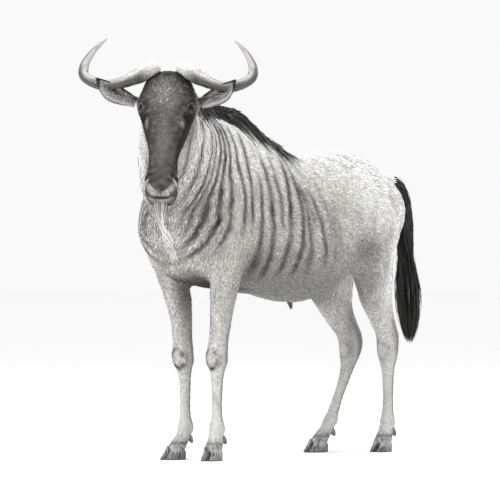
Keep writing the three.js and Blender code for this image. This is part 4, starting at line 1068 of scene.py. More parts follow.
def eyelids(side):
    """Rows from under the skin, over the roll of the lid, to its edge on the ball and back under it."""
    middle, outward, along, high = ball_frame(side)
    angle = turn(LID_SIDES)
    c, s = np.cos(angle), np.sin(angle)
    tall = np.where(s > 0, 0.60, 0.52)
    opening = np.stack([0.93 * c, tall * s], -1)[0]  # almond, as a share of the ball's radius
    rows = []
    for way, height in LID_ROWS:
        flat = opening * (1 - way) + 1.5 * np.stack([c, s], -1)[0] * way
        size = np.linalg.norm(flat, axis=1)
        bent = np.minimum(size, LID_BEND)
        bulge = EYE_RADIUS + height * (1 + 0.35 * (s[0] > 0) * (way < 0.6))
        spread = np.sin(bent) / np.maximum(size, 1e-6) * np.where(size > LID_BEND, size / LID_BEND, 1)
        flat = flat * spread[:, None]
        rows.append(middle + bulge[:, None] * (
            np.cos(bent)[:, None] * outward + flat[:, :1] * along + flat[:, 1:] * high
        ))
    points, faces = np.concatenate(rows), walls(len(rows), LID_SIDES)
    outwards = (face_normals(points, faces[:1]) @ outward)[0] > 0
    return points, faces if outwards else faces[:, ::-1]


lid_parts = [eyelids(side) for side, _ in SIDES]
for side, name in SIDES:
    eyeball(side, name)
points, faces = joined(lid_parts)
shade = np.tile(np.repeat(np.linspace(0, 1, len(LID_ROWS)), LID_SIDES), 2)
# dark at the edge on the ball, then the mask's colour, with a painted highlight on the roll of the lid
lid_colors = painted(INK, (MASK, smooth(shade, 0.5, 0.8)), (MASK_GREY, 0.3 * bell(shade, 0.36, 0.08)))
finish(mesh_object("eyelids", placed(points), faces, lid_colors), lid_finish, "face")
print("eyes and lids:", len(points), "points on the lids")


# %% [markdown]
# ## Horns
# Both sexes carry horns of keratin over a bony core. They spread from a rough boss on the poll, dip beside
# the head and turn up and in. Each is a tube along one curve, with growth rings that fade towards the tip.


# %% Horns
# s, then in the head: distance out, level and t of the middle, half-thickness up and front to back
horn_at = through([
    [0, 30, -26, -22, 9, 16], [1, 46, -24, -22, 18, 32], [2, 74, -20, -15, 27, 44], [3, 100, -20, 1, 31, 46],
    [4, 128, -20, 19, 28, 38], [5, 160, -19, 36, 22.5, 29], [6, 205, -16, 51, 19.5, 23],
    [7, 262, -13, 55, 20.5, 21.5], [8, 305, -13, 37, 20.5, 20.5], [9, 328, -18, 13, 20, 20],
    [10, 332, -24, -19, 19, 19], [11, 323, -30, -56, 15.5, 15.5], [12, 299, -36, -102, 11, 11],
    [13, 276, -39, -131, 7, 7], [14, 249, -41, -158, 1.6, 1.6],
])


HORN_END = 14


def horn(side, name):
    """A horn from its boss to its tip: sections square to its line, roughened by rings, lumps and pits."""
    s, angle = np.broadcast_arrays(np.linspace(0, HORN_END, 290)[:, None], turn(66))
    x, level, t, high, deep = horn_at(s)
    spot = np.stack([x, -level, -t], -1)
    before, after = horn_at(np.maximum(s - 0.15, 0)), horn_at(np.minimum(s + 0.15, HORN_END))
    along = unit(np.stack([after[0] - before[0], before[1] - after[1], before[2] - after[2]], -1))
    deepward = unit(np.array([0, 1.0, 0]) - along * along[..., 1:2])
    highward = np.cross(deepward, along)
    surface = spot + 30 * np.stack([np.cos(angle), np.sin(angle), 0 * s], -1)
    rings = np.sin(s * 15 + 2.2 * np.sin(2 * angle) + 1.6 * noise(surface, 40, 20))
    rings = 0.35 * rings * smooth(s, 2, 4) * (1 - smooth(s, 6.5, 9.5))
    pits = np.maximum(noise(surface, 4.2, 22) + 0.6 * noise(surface, 8, 25), 0)
    pits = pits * smooth(s, 0.1, 0.8) * (1 - smooth(s, 5, 8))
    lumps = 2.0 * noise(surface, 24, 21) * smooth(s, 0, 1) * (1 - smooth(s, 3.5, 7))
    grain = 0.35 * np.sin(angle * 19 + 2 * np.sin(s)) * smooth(s, 3, 6) * (1 - smooth(s, 11, 13))
    rough = rings + lumps + grain - 1.3 * pits
    points = (
        spot
        + deepward * (np.cos(angle) * (deep + rough))[..., None]
        + highward * (np.sin(angle) * (high + rough))[..., None]
    )
    points = points * [side, 1, 1]
    points, faces = shell(points @ head_matrix[:3, :3].T + head_matrix[:3, 3])
    ring = np.r_[s.ravel(), 0, HORN_END]
    relief = np.r_[(rings + grain - 1.5 * pits).ravel(), 0, 0]
    across, upper = (np.r_[wave.ravel(), 0, 0] for wave in (np.cos(angle), -np.sin(angle)))
    streaks = noise(np.stack([across * 20, upper * 20, ring * 7], -1), 6, 24)
    ridged, clear = smooth(ring, 1.5, 4) * (1 - smooth(ring, 9, 11)), smooth(ring, 9, 11)
    color = painted(
        linear("#c4c1bc"),
        # painted shade in the pits and the grooves of the relief
        (linear("#5c5a57"), 0.6 * smooth(-relief, 0.0, 1.2)),
        (linear("#8a8784"), 0.85 * smooth(ring, 3.2, 6.0)),
        (linear("#3f3d3b"), 0.65 * smooth(streaks, 0, 1.1) * smooth(ring, 2, 5)),
        # painted shade along the lower side of the ridged part
        (linear("#1c1b1a"), 0.9 * smooth(-upper, -0.2, 0.6) * ridged),
        # painted shade along the lower side towards the tip
        (linear("#2a2928"), 0.7 * smooth(-upper, 0.0, 0.7) * clear),
        # painted light along the upper side towards the tip
        (linear("#b9b7b3"), 0.3 * smooth(upper, 0.2, 0.9) * clear),
    )
    sheath = mesh_object(f"horn_{name}_sheath", placed(points), faces, color)
    finish(sheath, horn_finish, "horn", f"horn_{name}")


for side, name in SIDES:
    horn(side, name)
print("horns made")


# %% [markdown]
# ## Ears
# The ears are long leaves held out below the horns, rolled into a cup that opens forwards. Each is a thin
# wall: an outer face and an inner face over the same leaf. The upper edge and the tip are black.


# %% Ears
EAR_ROOT, EAR_TIP, EAR_BOW = np.array([124.0, 92, -92]), np.array([272.0, -34, -50]), 8
EAR_ROWS, EAR_ACROSS = 70, 30  # points along the leaf, and across each of its faces
# s, then the reach of the upper and the lower edge, the depth of the hollow, the thickness
ear_at = through([
    [0, 19, 22, 22, 7], [0.12, 18, 30, 26, 6], [0.28, 19, 41, 28, 5], [0.45, 20, 50, 25, 4.5],
    [0.61, 18, 51, 19, 4], [0.75, 14, 42, 13, 3.8], [0.87, 9, 27, 7, 3.5], [0.95, 5, 12, 3, 3],
    [1, 2, 3, 0.5, 2.5],
])


def ear_point(s, u, inside):
    """A point of the ear in the head's turned axes: s from root to tip, u from upper to lower edge."""
    upper, lower, deep, wall = ear_at(s)
    along = unit(EAR_TIP - EAR_ROOT)
    facing = np.array([0.05, -0.92, -0.38])
    forward = unit(facing - along * (facing @ along))
    below = np.cross(along, forward)
    spot = EAR_ROOT + (EAR_TIP - EAR_ROOT) * s[..., None] + forward * (EAR_BOW * np.sin(np.pi * s))[..., None]
    leaf = u * (np.where(u > 0, lower, upper) - inside * wall * 0.45)
    ripple = 1.5 * np.sin(u * 7 + s * 9) * smooth(np.abs(u), 0.2, 1) * smooth(s, 0.1, 0.5)
    over = -deep * (1 - u * u) + inside * wall * (1 - 0.4 * np.abs(u) ** 6) + ripple
    return spot + below * leaf[..., None] + forward * over[..., None]


def ear(side):
    """Both faces of the leaf, closed round its edge."""
    s, across = np.linspace(0, 1, EAR_ROWS)[:, None], np.linspace(-1, 1, EAR_ACROSS)[None, :]
    s, across = np.broadcast_arrays(s, across)
    rings = np.concatenate([ear_point(s, across, 0), ear_point(s, -across, 1)], 1) * [side, 1, 1]
    points, faces = shell(rings @ head_matrix[:3, :3].T + head_matrix[:3, 3])
    u = np.concatenate([across, -across], 1).ravel()
    way = np.repeat(s[:, 0], 2 * EAR_ACROSS)
    within = np.tile(np.repeat([0.0, 1.0], EAR_ACROSS), EAR_ROWS)
    return points, faces, *(np.r_[value, value[0], value[-1]] for value in (u, way, within))


def ear_colors(u, way, within):
    """Pale leaf, a dark hollow, and a black upper edge and tip."""
    streaks = np.sin(u * 15 - 4 * way) + 0.6 * np.sin(way * 17 - 7 * u)
    return painted(
        SLATE,
        (SILVER, 0.4 * within * smooth(np.abs(u), 0.5, 0.9)),
        (MASK_GREY, 0.7 * within * bell(u, 0.1, 0.6) * bell(way, 0.45, 0.4)),
        (INK, within * smooth(streaks, -0.7, 0.0) * bell(u, 0.12, 0.42) * bell(way, 0.46, 0.3)),
        (INK, 0.9 * bell(way, 0.04, 0.08) * smooth(-u, -0.3, 0.5)),
        (INK, smooth(-u, 0.58, 0.82) * smooth(way, 0.05, 0.2)),
        (INK, 0.7 * smooth(u, 0.86, 0.98) * smooth(way, 0.1, 0.3)),
        (INK, smooth(way + 0.08 * np.abs(u), 0.84, 0.94)),
    )


ears = {side: ear(side) for side, _ in SIDES}
for side, name in SIDES:
    points, faces, u, way, within = ears[side]
    leaf = mesh_object(f"ear_{name}_leaf", placed(points), faces, ear_colors(u, way, within) * 0.8)
    finish(leaf, skin_finish, "hide", f"ear_{name}")
print("ears:", len(points), "points each")


# %% [markdown]
# ## Hooves
# A wildebeest stands on two claws on each foot, with a cleft between them, and has two short dewclaws
# behind the fetlock. A claw is a stack of level sections, round behind and narrowing in front.


# %% Claws and dewclaws
# z, how far back, half-length and half-width of a claw
claw_at = through([[0, 0, 50, 17], [8, 1, 51, 17.5], [30, 11, 41, 17.5], [55.7, 20, 34, 16.5]])
CLAW_GAP, FETLOCK = 2.5, 88


def claw(stance, away):
    """One claw from the ground to the coronet; away is the side it lies on."""
    table, side, _, _, _, turned = stance
    y, x = table(CORONET)[:2]
    middle = np.array([side * x, y + shift_at(stance, CORONET), 0])
    z = np.r_[0, 0.8, 2.2, np.linspace(4, 53, 40), 54.8, 55.6][:, None]
    angle = turn(64)
    z, angle = np.broadcast_arrays(z, angle)
    back, long, wide = claw_at(z)
    edge = 1 - 0.06 * (1 - smooth(z, 0, 2.4)) - 0.08 * smooth(z, 53.5, 55.7)
    lines = 1 + 0.010 * np.sin(z * 1.15 + 0.6 * np.sin(angle)) + 0.006 * np.sin(z * 2.9)
    ahead = np.cos(angle)
    narrow = 1 - 0.42 * np.maximum(ahead, 0) ** 1.6
    flat = np.where(np.sin(angle) * away > 0, 1, 0.9)
    toed = np.where(ahead > 0, -away * 3 * ahead**2, 0) * (1 - 0.4 * smooth(z, 10, 30))
    u = rounded(np.sin(angle), 2.4) * wide * narrow * flat * edge * lines
    u = away * (CLAW_GAP + 17) + u + toed
    z = z * (1 - 0.4 * smooth(-ahead, -0.5, 1.0))  # the coronet slopes down to the heel
    v = back - 26 - ahead * long * edge * lines
    c, s = math.cos(math.radians(turned) * side), math.sin(math.radians(turned) * side)
    return shell(middle + np.stack([u * c - v * s, u * s + v * c, z], -1))


def dewclaw(stance, away):
    """A short blunt horn behind the fetlock."""
    table, side = stance[:2]
    y, x, long, wide = table(FETLOCK)[:4]
    root = np.array([side * (x + away * wide * 0.52), y + shift_at(stance, FETLOCK) + long * 0.72, 96.0])
    tip = root + [side * away * 3, 21, -32]
    s = np.r_[0, np.linspace(0.03, 0.97, 26), 0.995][:, None]
    angle = turn(32)
    radius = np.interp(s, [0, 0.4, 0.8, 0.93, 1], [11.5, 12.5, 8.5, 5, 1]) * (1 + 0.02 * np.sin(s * 40))
    ring = np.stack([np.cos(angle) * radius, np.sin(angle) * radius * 0.8, np.sin(angle) * radius * 0.5], -1)
    return shell(root + (tip - root) * s[..., None] + ring)


def hoof_colors(points):
    """Grey horn with a painted highlight in a paler belt half way up, dark streaks down it and a dark edge on
    the ground.
    """
    z = points[:, 2]
    return painted(
        linear("#6f6d6a"),
        # painted highlight: a paler belt half way up the wall
        (linear("#a09e9a"), 0.7 * bell(z, 37.2, 14)),
        (linear("#232221"), 0.85 * smooth(noise(points * [1, 1, 0.15], 8, 31), -0.1, 0.8)),
        (linear("#2b2927"), 0.8 * (1 - smooth(z, 0, 7))),
    )


for name, stance in STANCES.items():
    side = stance[1]
    pieces = [claw(stance, away) for away in (-side, side)] + [dewclaw(stance, away) for away in (-1, 1)]
    points, faces = joined(pieces)
    nodes = [f"{name}_{kind}_{place}" for kind in ("hoof", "dewclaw") for place in ("inner", "outer")]
    claws = mesh_object(name + "_claws", placed(points), faces, hoof_colors(points))
    finish(claws, hoof_finish, "hoof", *nodes)
print("claws and dewclaws:", len(pieces) * len(STANCES))


# %% [markdown]
# ## The short coat
# Particle hair does not leave Blender, so the coat is made of solid tufts: slim three-sided leaves that
# rise from the skin and bend down along it. Their roots are spread over the skin's triangles, and the lie
# of the coat is a field of directions: back along the trunk, down the legs, and out from a whorl on the
# forehead.


# %% The lie of the coat
def led(way, other, share):
    """Directions led over to another one, by a share at each point."""
    return way * (1 - share[:, None]) + np.asarray(other) * share[:, None]


def flat_on(way, normals):
    """The part of directions that lies flat on the skin, made one long."""
    return unit(way - normals * (way * normals).sum(1, keepdims=True))


def down_bands(points, normals):
    """Directions along the dark bands and down, so across the slope of the measure along the body."""
    steps = 6.0 * np.eye(3)
    slope = np.stack([along_body(points + step) - along_body(points - step) for step in steps], -1)
    down = np.cross(normals, slope)
    clear = smooth(np.linalg.norm(down, axis=-1) / np.linalg.norm(slope, axis=-1), 0.3, 0.75)[:, None]
    down = unit(down) * -np.sign(down[:, 2:] + 1e-9)
    return down * clear + np.array([0, 0.1, -1.0]) * (1 - clear)  # no whorl where a band faces forward


def from_whorl(points):
    """On the head the hair turns out of a whorl on the forehead, runs down the face and back on the cheek."""
    across, level, t = to_head(points)
    out = np.stack([across * 0.75, -0.55 * np.abs(across) - 18, t - 118], -1)
    out[:, 2] += np.where(level < -90, 0.8 * (-level - 90), 0)
    swirl = 1.2 * bell(np.hypot(across, t - 118), 0, 32)
    c, s = np.cos(swirl), np.sin(swirl)
    out[:, 0], out[:, 2] = c * out[:, 0] - s * out[:, 2], s * out[:, 0] + c * out[:, 2]
    out = led(unit(out), [0, -0.75, 0.45], smooth(-level, 95, 150))
    return (out * [1, -1, -1]) @ head_matrix[:3, :3].T


def lie_of_coat(points, normals):
    """The direction that hair points in: back on the trunk, down elsewhere, flat on the skin."""
    x, y, z = points.T
    way = np.stack([0.0 * x, np.ones(len(x)), -0.42 * smooth(np.abs(x), 60, 200) - 0.10], -1)
    way = led(way, down_bands(points, normals), (1 - smooth(y, -40, 200)) * smooth(z, 700, 850))
    way = led(way, [0, 0.25, -0.95], (1 - smooth(y, -150, 0)) * (1 - smooth(z, 750, 900)))  # breast
    thigh = np.maximum(smooth(y, 900, 1000) * (1 - smooth(z, 900, 1120)), 1 - smooth(z, 620, 780))
    way = led(way, [0, 0.32, -0.95], np.where((y > 250) & (y < 850), 0.0, thigh))
    way = led(way, [0, 0.15, -1.0], smooth(y, 1290, 1320))  # tail
    way = led(way, from_whorl(points), head_part(points))
    return flat_on(way, normals)


# %% Roots and tufts
def scatter(points, faces, normals, uv, density, draw):
    """Roots spread over triangles by area and density: place, normal and place on the unwrap."""
    area = np.linalg.norm(face_normals(points, faces), axis=1) / 2
    want = area * density(points[faces].mean(1)) / 100  # density is per square centimetre
    count = np.floor(want + draw.random(len(want))).astype(int)
    face = np.repeat(np.arange(len(faces)), count)
    a, b = draw.random((2, len(face)))
    over = a + b > 1
    a, b = np.where(over, 1 - a, a), np.where(over, 1 - b, b)
    weight = np.stack([1 - a - b, a, b], -1)[..., None]
    corners = faces[face]
    normals = unit((normals[corners] * weight).sum(1))
    return (points[corners] * weight).sum(1), normals, (uv[face] * weight).sum(1)


PATCH = 0.003  # how far across a tuft's own patch of the unwrap is
# the seven points of a tuft: its triangles, and its points' places on the patch
SEVEN = np.array([
    [0, 1, 4], [0, 4, 3], [1, 2, 5], [1, 5, 4], [2, 0, 3], [2, 3, 5],  # walls
    [3, 4, 6], [4, 5, 6], [5, 3, 6], [0, 2, 1],  # tip and root
])
SPOTS = np.array([[0, 0], [0.5, 0], [0.25, 0.4], [0.1, 0.5], [0.9, 0.5], [0.5, 0.8], [0.5, 1]]) - 0.5


def tufts(name, roots, lie, length, width, lift, slot, draw, vary, colors_at=markings_and_painted_light):
    """Three-sided leaves of seven points: a ring at the root, one half way, and the tip."""
    place, normal, spot = roots
    count = len(place)
    across = np.cross(lie, normal)
    swerve = draw.normal(0, 0.14, count)[:, None]
    lie = unit(lie + across * swerve)
    across = np.cross(lie, normal)
    length = (length * draw.uniform(0.7, 1.3, count))[:, None]
    width = (width * draw.uniform(0.6, 1.4, count))[:, None]
    lift = (lift * draw.uniform(0.5, 1.5, count))[:, None]
    thick = width * 0.32
    root = place - normal * (0.9 + 0.4 * thick)
    middle = place + lie * length * 0.5 + normal * (length * lift * 0.62)
    tip = place + lie * length + across * length * draw.normal(0, 0.10, count)[:, None]
    tip = tip + normal * (length * lift)
    points = np.stack([
        root - across * width * 0.4, root + across * width * 0.4, root + normal * thick,
        middle - across * width * 0.5, middle + across * width * 0.5, middle + normal * thick,
        tip,
    ], 1)
    faces = SEVEN[None] + 7 * np.arange(count)[:, None, None]
    tone = np.exp(draw.normal(-0.3 * vary, vary, count))[:, None]
    at_root, at_middle, at_tip = (colors_at(spots) * tone for spots in (place, middle, tip))
    # each tuft is darkest at the root, painted shade deep in the coat, its upper ridge is lighter than its
    # sides, painted light, and its tip lighter still
    upper = [at_middle * 0.92] * 2 + [at_middle * 1.05, at_tip * 1.15 + 0.01]
    shades = np.stack([at_root * 0.45] * 3 + upper, 1)
    uv = spot[:, None] + SPOTS[None] * PATCH
    points, faces, shades = (rows.reshape(-1, 3) for rows in (points, faces, shades))
    finish(mesh_object(name, placed(points), faces, shades, uv.reshape(-1, 2)), coat_finish, slot)


def coat_density(points):
    """Tufts for each square centimetre of skin."""
    across, level, t = to_head(points)
    trunk_many = 3.3 - 0.85 * smooth(points[:, 1], -60, 60)
    many = 4.6 + (trunk_many - 4.6) * smooth(points[:, 2], 480, 760)
    many = np.where(head_part(points), 8.2 + 6 * bell(np.hypot(across, t - 118), 0, 16) * (level > -30), many)
    half = half_head(points)
    deep, ring = from_eye(half)
    bare = (ring < 19) & (deep > -15)
    for name in STANCES:
        mine, ahead, _ = stance_of(points, name)
        bare |= mine & (points[:, 2] < 57 - 22 * smooth(-ahead, -0.4, 1))
    bare |= head_part(points) & ((np.abs(below_mouth(t, level)) < 4) & (t > 430))
    near, _ = beside_nostril(half, 6)
    bare |= head_part(points) & (near < 8)
    return np.where(bare, 0, many)


draw = np.random.default_rng(5)
roots = scatter(skin_points, skin_faces, skin_out, skin_uv, coat_density, draw)
place = roots[0]
x, y, z = place.T
across, _, t = to_head(place)
on_head = head_part(place)
lie = lie_of_coat(place, roots[1])
length = np.interp(z, [60, 85, 110, 420, 620, 800], [12, 13, 8, 11, 16, 20])
length = length * (1 + 0.3 * (1 - smooth(y, -150, 50)) * smooth(z, 700, 900))
length = np.where(on_head, np.interp(t, [-30, 90, 200, 420, 520], [22, 17, 10, 6.5, 5]), length)
width = length * np.where(y < 0, 0.16, 0.195)
lift = np.where(on_head, 0.13, 0.12) + 0.05 * smooth(-y, 80, 220) * ~on_head
legs, trunk_part = ~on_head & (z < 560), ~on_head & (z >= 560)


def halves(name, where, left):
    """A region cut into its left and its right half."""
    return [(name + "_left", where & left), (name + "_right", where & ~left)]


regions = [
    *halves("head", on_head, across > 0),
    ("legs_fore", legs & (y < 520)),
    ("legs_hind", legs & (y >= 520)),
    *halves("neck", trunk_part & (y < 40), x > 40),
    *halves("side", trunk_part & (y >= 40) & (y < 640), x > 0),
    *halves("rump", trunk_part & (y >= 640), x > 0),
]
print("tufts of the short coat:", len(place))
for name, here in regions:
    some = tuple(part[here] for part in roots)
    print("  ", name, len(some[0]))
    slot, vary = ("face", 0.42) if name.startswith("head") else ("hide", 0.27)
    tufts("coat_" + name, some, lie[here], length[here], width[here], lift[here], slot, draw, vary)


# %% Hair of the ears
def ear_uv(u, way, within, side):
    """The leaf laid flat: root to tip across, edge to edge up, each face in its own corner."""
    corner = np.stack([0.02 + 0.5 * within, 0.02 + 0.5 * (side > 0) + 0 * within], -1)
    return corner + np.stack([0.42 * way, 0.2 * (u + 1)], -1)


for side, name in SIDES:
    points, faces, u, way, within = ears[side]
    uv = ear_uv(u, way, within, side)[faces]
    normals = point_normals(points, faces)
    roots = scatter(points, faces, normals, uv, lambda spots: 9.0 + 0 * spots[:, 0], draw)
    nearest = [np.abs(points - spot).sum(1).argmin() for spot in roots[0]]
    inner, edge, along_way = within[nearest], np.abs(u[nearest]), way[nearest]
    tip = in_head(*(EAR_TIP * [side, -1, -1])) - in_head(*(EAR_ROOT * [side, -1, -1]))
    out = unit(tip)[None] + 0.22 * draw.normal(size=(len(nearest), 3)) * (0.3 + 0.5 * inner)[:, None]
    hollow = inner * (1 - smooth(edge, 0.3, 0.9)) * (1 - smooth(along_way, 0.55, 0.95))
    long = 9 + 13 * hollow + 2 * smooth(edge, 0.8, 1)
    pale = draw.random(len(nearest)) < 0.1
    own = painted(ear_colors(u, way, within)[nearest], (SILVER, 0.4 * inner * pale))
    tufts(f"ear_hair_{name}", roots, flat_on(out, roots[1]), long, long * 0.11, 0.1 + 0.08 * inner,
          "hide", draw, 0.3, lambda spots: own)
print("ear hair:", len(nearest), "tufts a side")


# %% Hair of the lids
# The lids are furred down to their edge, and the upper one carries lashes.
tree = BVHTree.FromPolygons(placed(skin_points).tolist(), skin_faces.tolist())


def skin_under(points):
    """The places on the unwrapped skin, of the three corners of the triangle nearest to each point."""
    return skin_uv[[tree.find_nearest(Vector(point))[2] for point in placed(points)]]


for (side, name), (points, faces) in zip(SIDES, lid_parts):
    middle, outward, along, high = ball_frame(side)

    def lid_density(spots):
        """None on the edge beside the ball, then as dense as on the face."""
        a, b = ((spots - middle) @ way / EYE_RADIUS for way in (along, high))
        return 26.0 * (np.hypot(a / 1.02, b / np.where(b > 0, 0.78, 0.70)) > 1)

    uv = skin_under(points[faces].mean(1))
    roots = scatter(points, faces, point_normals(points, faces), uv, lid_density, draw)
    away = roots[0] - middle
    away = unit(away - np.outer(away @ outward, outward)) - 0.3 * outward
    same = np.ones(len(away))
    tufts(f"lid_hair_{name}", roots, flat_on(away, roots[1]), 4.5 * same, 0.8 * same, 0.1 * same,
          "face", draw, 0.45, lambda spots: np.tile(MASK, (len(spots), 1)))


# %% [markdown]
# ## Long hair
# Mane, beard and tail are long hair that hangs in locks. A lock is a flat three-sided strip along a curve,
# widest above its middle and fine at the tip. All locks of a piece are worked out at once, as arrays.


# %% Locks
STATIONS = np.array([0, 0.14, 0.32, 0.54, 0.78, 1.0])  # along a lock: three points at each, one at the tip
LOCK_POINTS = 3 * (len(STATIONS) - 1) + 1


def lock_faces():
    """Triangles of one lock: its walls, its tip and its root."""
    k, rows = np.arange(3), len(STATIONS) - 1
    here, beside = k, (k + 1) % 3
    faces = [np.stack([here, beside, here + 3], -1) + 3 * r for r in range(rows - 1)]
    faces += [np.stack([beside, beside + 3, here + 3], -1) + 3 * r for r in range(rows - 1)]
    last = 3 * (rows - 1)
    faces += [np.stack([last + here, last + beside, np.full(3, 3 * rows)], -1), np.array([[0, 2, 1]])]
    return np.vstack(faces)


def curve_through(points):
    """Smooth curves through the given points, at the stations: a cubic between each two neighbours."""
    given = points.shape[1]
    where = STATIONS * (given - 1)
    low = np.minimum(where.astype(int), given - 2)
    part = (where - low)[None, :, None]
    before, after = 2 * points[:, :1] - points[:, 1:2], 2 * points[:, -1:] - points[:, -2:-1]
    pad = np.concatenate([before, points, after], 1)
    p0, p1, p2, p3 = pad[:, low], pad[:, low + 1], pad[:, low + 2], pad[:, low + 3]
    square, cube = 2 * p0 - 5 * p1 + 4 * p2 - p3, 3 * p1 - p0 - 3 * p2 + p3
    return 0.5 * (2 * p1 + (p2 - p0) * part + square * part**2 + cube * part**3)


def locks(curves, broad, wide, thick, root_color, tip_color, tone):
    """Strips over curves shaped (locks, points, 3); broad is the way they are broad."""
    count = len(curves)
    line = curve_through(curves)
    along = unit(np.gradient(line, axis=1))
    broad = np.broadcast_to(broad[:, None], line.shape)
    across = unit(broad - along * (along * broad).sum(-1, keepdims=True))
    over = np.cross(along, across)[:, :-1]
    across = across[:, :-1]
    t = STATIONS[:-1][None, :, None]
    width = wide[:, None, None] / 2 * (0.55 + 1.1 * t) * (1 - t**2.0)
    depth = thick[:, None, None] * (1 - 0.6 * t)
    ring = line[:, :-1]
    out, below = across * width, over * depth * 0.35
    sides = np.stack([ring + out - below, ring + over * depth * 0.65, ring - out - below], 2)
    points = np.concatenate([sides.reshape(count, -1, 3), line[:, -1:]], 1)
    faces = lock_faces()[None] + LOCK_POINTS * np.arange(count)[:, None, None]
    way = np.r_[np.repeat(STATIONS[:-1], 3), 1.0]
    color = (root_color + (tip_color - root_color) * way[None, :, None]) * tone[:, None, None]
    patch = np.stack([np.resize([0, 0.5, 1], LOCK_POINTS), way], -1) - 0.5
    uv = skin_under(curves[:, 0]).mean(1)[:, None] + patch[None] * PATCH
    return points.reshape(-1, 3), faces.reshape(-1, 3), color.reshape(-1, 3), uv.reshape(-1, 2)


def hair_piece(name, strips, surface, slot, *nodes):
    """One piece made of strips, with their outsides outwards."""
    points, faces, colors, uv = strips
    thing = mesh_object(name, placed(points), facing_out(points, faces), colors, uv)
    finish(thing, surface, slot, *nodes)


# %% Locks that lie on the skin
def on_skin(points):
    """The nearest places of the skin, and its normals there."""
    found = [tree.find_nearest(Vector(point))[:2] for point in placed(points)]
    spots, normals = (np.array([vector[:] for vector in vectors]) for vectors in zip(*found))
    return on_animal(spots), normals


def draped(start, heading, length, heights, sag=0.25):
    """Curves that leave the skin at start and follow it in steps, at heights over it, sagging downwards."""
    place, normal = on_skin(start)
    heading = unit(heading)
    rows = [place - normal * 4]
    for height in heights:
        place, normal = on_skin(place + heading * (length / len(heights))[:, None])
        heading = unit(heading + np.array([0, 0, -sag]))
        heading = flat_on(heading, normal)
        rows.append(place + normal * height[:, None])
    return np.stack(rows, 1)


# %% The mane
# y, x and height of the hair over the crest
crest_at = through([[-238, 84, 22], [-190, 58, 34], [-105, 22, 44], [-10, 5, 44], [190, 3, 44], [370, 3, 42],
                    [450, 3, 30], [530, 3, 10]])


def crest(y):
    """Places on the crest of the neck and the withers."""
    x = crest_at(y)[0]
    above = placed(np.stack([x, y, 0 * y], -1))[:, :2]
    high = [tree.ray_cast(Vector((*spot, 3.0)), Vector((0, 0, -1)))[0][2] for spot in above]
    return np.stack([x, y, np.array(high) * 1000], -1)


def fallen_locks(count, side, reach, sweep, wide, draw, first=-225, last=470):
    """Locks that rise from the crest and fall to one side, in clumps whose tips draw together."""
    y = draw.uniform(first, last, count)
    clump = np.round(y / 19 + 0.15 * draw.normal(size=count)) * 19 + 7 * np.sin(np.round(y / 19) * 5.1)
    fade = np.clip((530 - y) / 130, 0.4, 1) * np.where((y > 120) & (y < 430) & (side > 0), 1.4, 1)
    length = reach * fade * draw.uniform(0.6, 1.15, count) * (1 + 0.25 * np.sin(clump * 1.7))
    high = crest_at(y)[1] * draw.uniform(0.3, 0.75, count)
    back = sweep / reach * draw.uniform(0.6, 1.4, count) + (clump - y) / 60
    heading = np.stack([side + 0 * y, back, 0 * y - 0.2], -1)
    ends = [low + more * draw.random(count) for low, more in ((7, 4), (4, 4), (3, 5))]
    heights = [high, high * 0.55 + 5, *ends]
    curve = draped(crest(y), heading, length, heights)
    return curve, np.tile([0.0, side, 0.0], (count, 1)), wide * draw.uniform(0.6, 1.3, count)


def standing_locks(count, draw):
    """Locks that stand on the crest and sweep back."""
    y = draw.uniform(-236, 490, count)
    high = crest_at(y)[1]
    lean, sweep, rise = (draw.uniform(low, most, count) for low, most in ((-10, 16), (36, 100), (0.6, 1.2)))
    rows = [crest(y) + np.stack([draw.uniform(-12, 12, count), 0 * y, 0 * y - 5], -1)]
    for share, up in ((0.3, 0.56), (0.64, 0.92), (1.0, 1.0)):
        rows.append(crest(y + sweep * share) + np.stack([lean * share, 0 * y, high * rise * up], -1))
    return np.stack(rows, 1), np.tile([0.0, -0.7, 0.7], (count, 1)), draw.uniform(4, 11, count)


INK_HAIR, INK_TIP = linear("#111111"), linear("#2b2b2a")
strips = []
for curve, broad, wide in (
    fallen_locks(1200, 1, 74, 52, 7, draw),
    fallen_locks(170, 1, 150, 110, 6, draw, 130, 420),
    fallen_locks(70, 1, 150, 90, 6, draw, -236, -200),
    fallen_locks(110, 1, 120, 46, 6, draw, -104, -60),
    fallen_locks(480, -1, 60, 48, 9, draw),
    standing_locks(1000, draw),
):
    pale = draw.random(len(curve)) < np.where(curve[:, 0, 1] < -120, 0.35, 0.12)
    tone = draw.uniform(0.5, 1.3, len(curve)) * np.where(pale, 9, 1)
    strips.append(locks(curve, broad, wide, wide * 0.25, INK_HAIR, INK_TIP, tone))


def stacked(strips):
    """Several sets of strips as one."""
    points, faces, colors, uv = zip(*strips)
    starts = np.cumsum([0] + [len(part) for part in points[:-1]])
    faces = [part + start for part, start in zip(faces, starts)]
    return tuple(np.vstack(parts) for parts in (points, faces, colors, uv))


for side, _ in SIDES:  # lashes of the upper lids
    middle, outward, along, high = ball_frame(side)
    count = 70
    angle = np.pi * draw.uniform(0.06, 0.94, count)
    edge = 0.9 * np.cos(angle)[:, None] * along + 0.58 * np.sin(angle)[:, None] * high
    bulge = np.sqrt(np.maximum(1 - (edge**2).sum(1), 0.02))[:, None]
    root = middle + EYE_RADIUS * (edge + bulge * outward)
    reach = draw.uniform(9, 15, count)[:, None]
    sweep = unit(edge + 0.9 * outward - 0.35 * high)
    curve = np.stack([root, root + sweep * reach * 0.5, root + sweep * reach + high * reach * 0.12], 1)
    wide = draw.uniform(0.5, 0.9, count)
    broad = np.tile(along, (count, 1))
    strips.append(locks(curve, broad, wide, wide * 0.5, INK_HAIR, INK_TIP, np.ones(count)))
count = 240  # the forelock: short hair of the poll, which stands up between the horns
out, down = draw.uniform(-58, 58, count), draw.uniform(-30, 14, count)
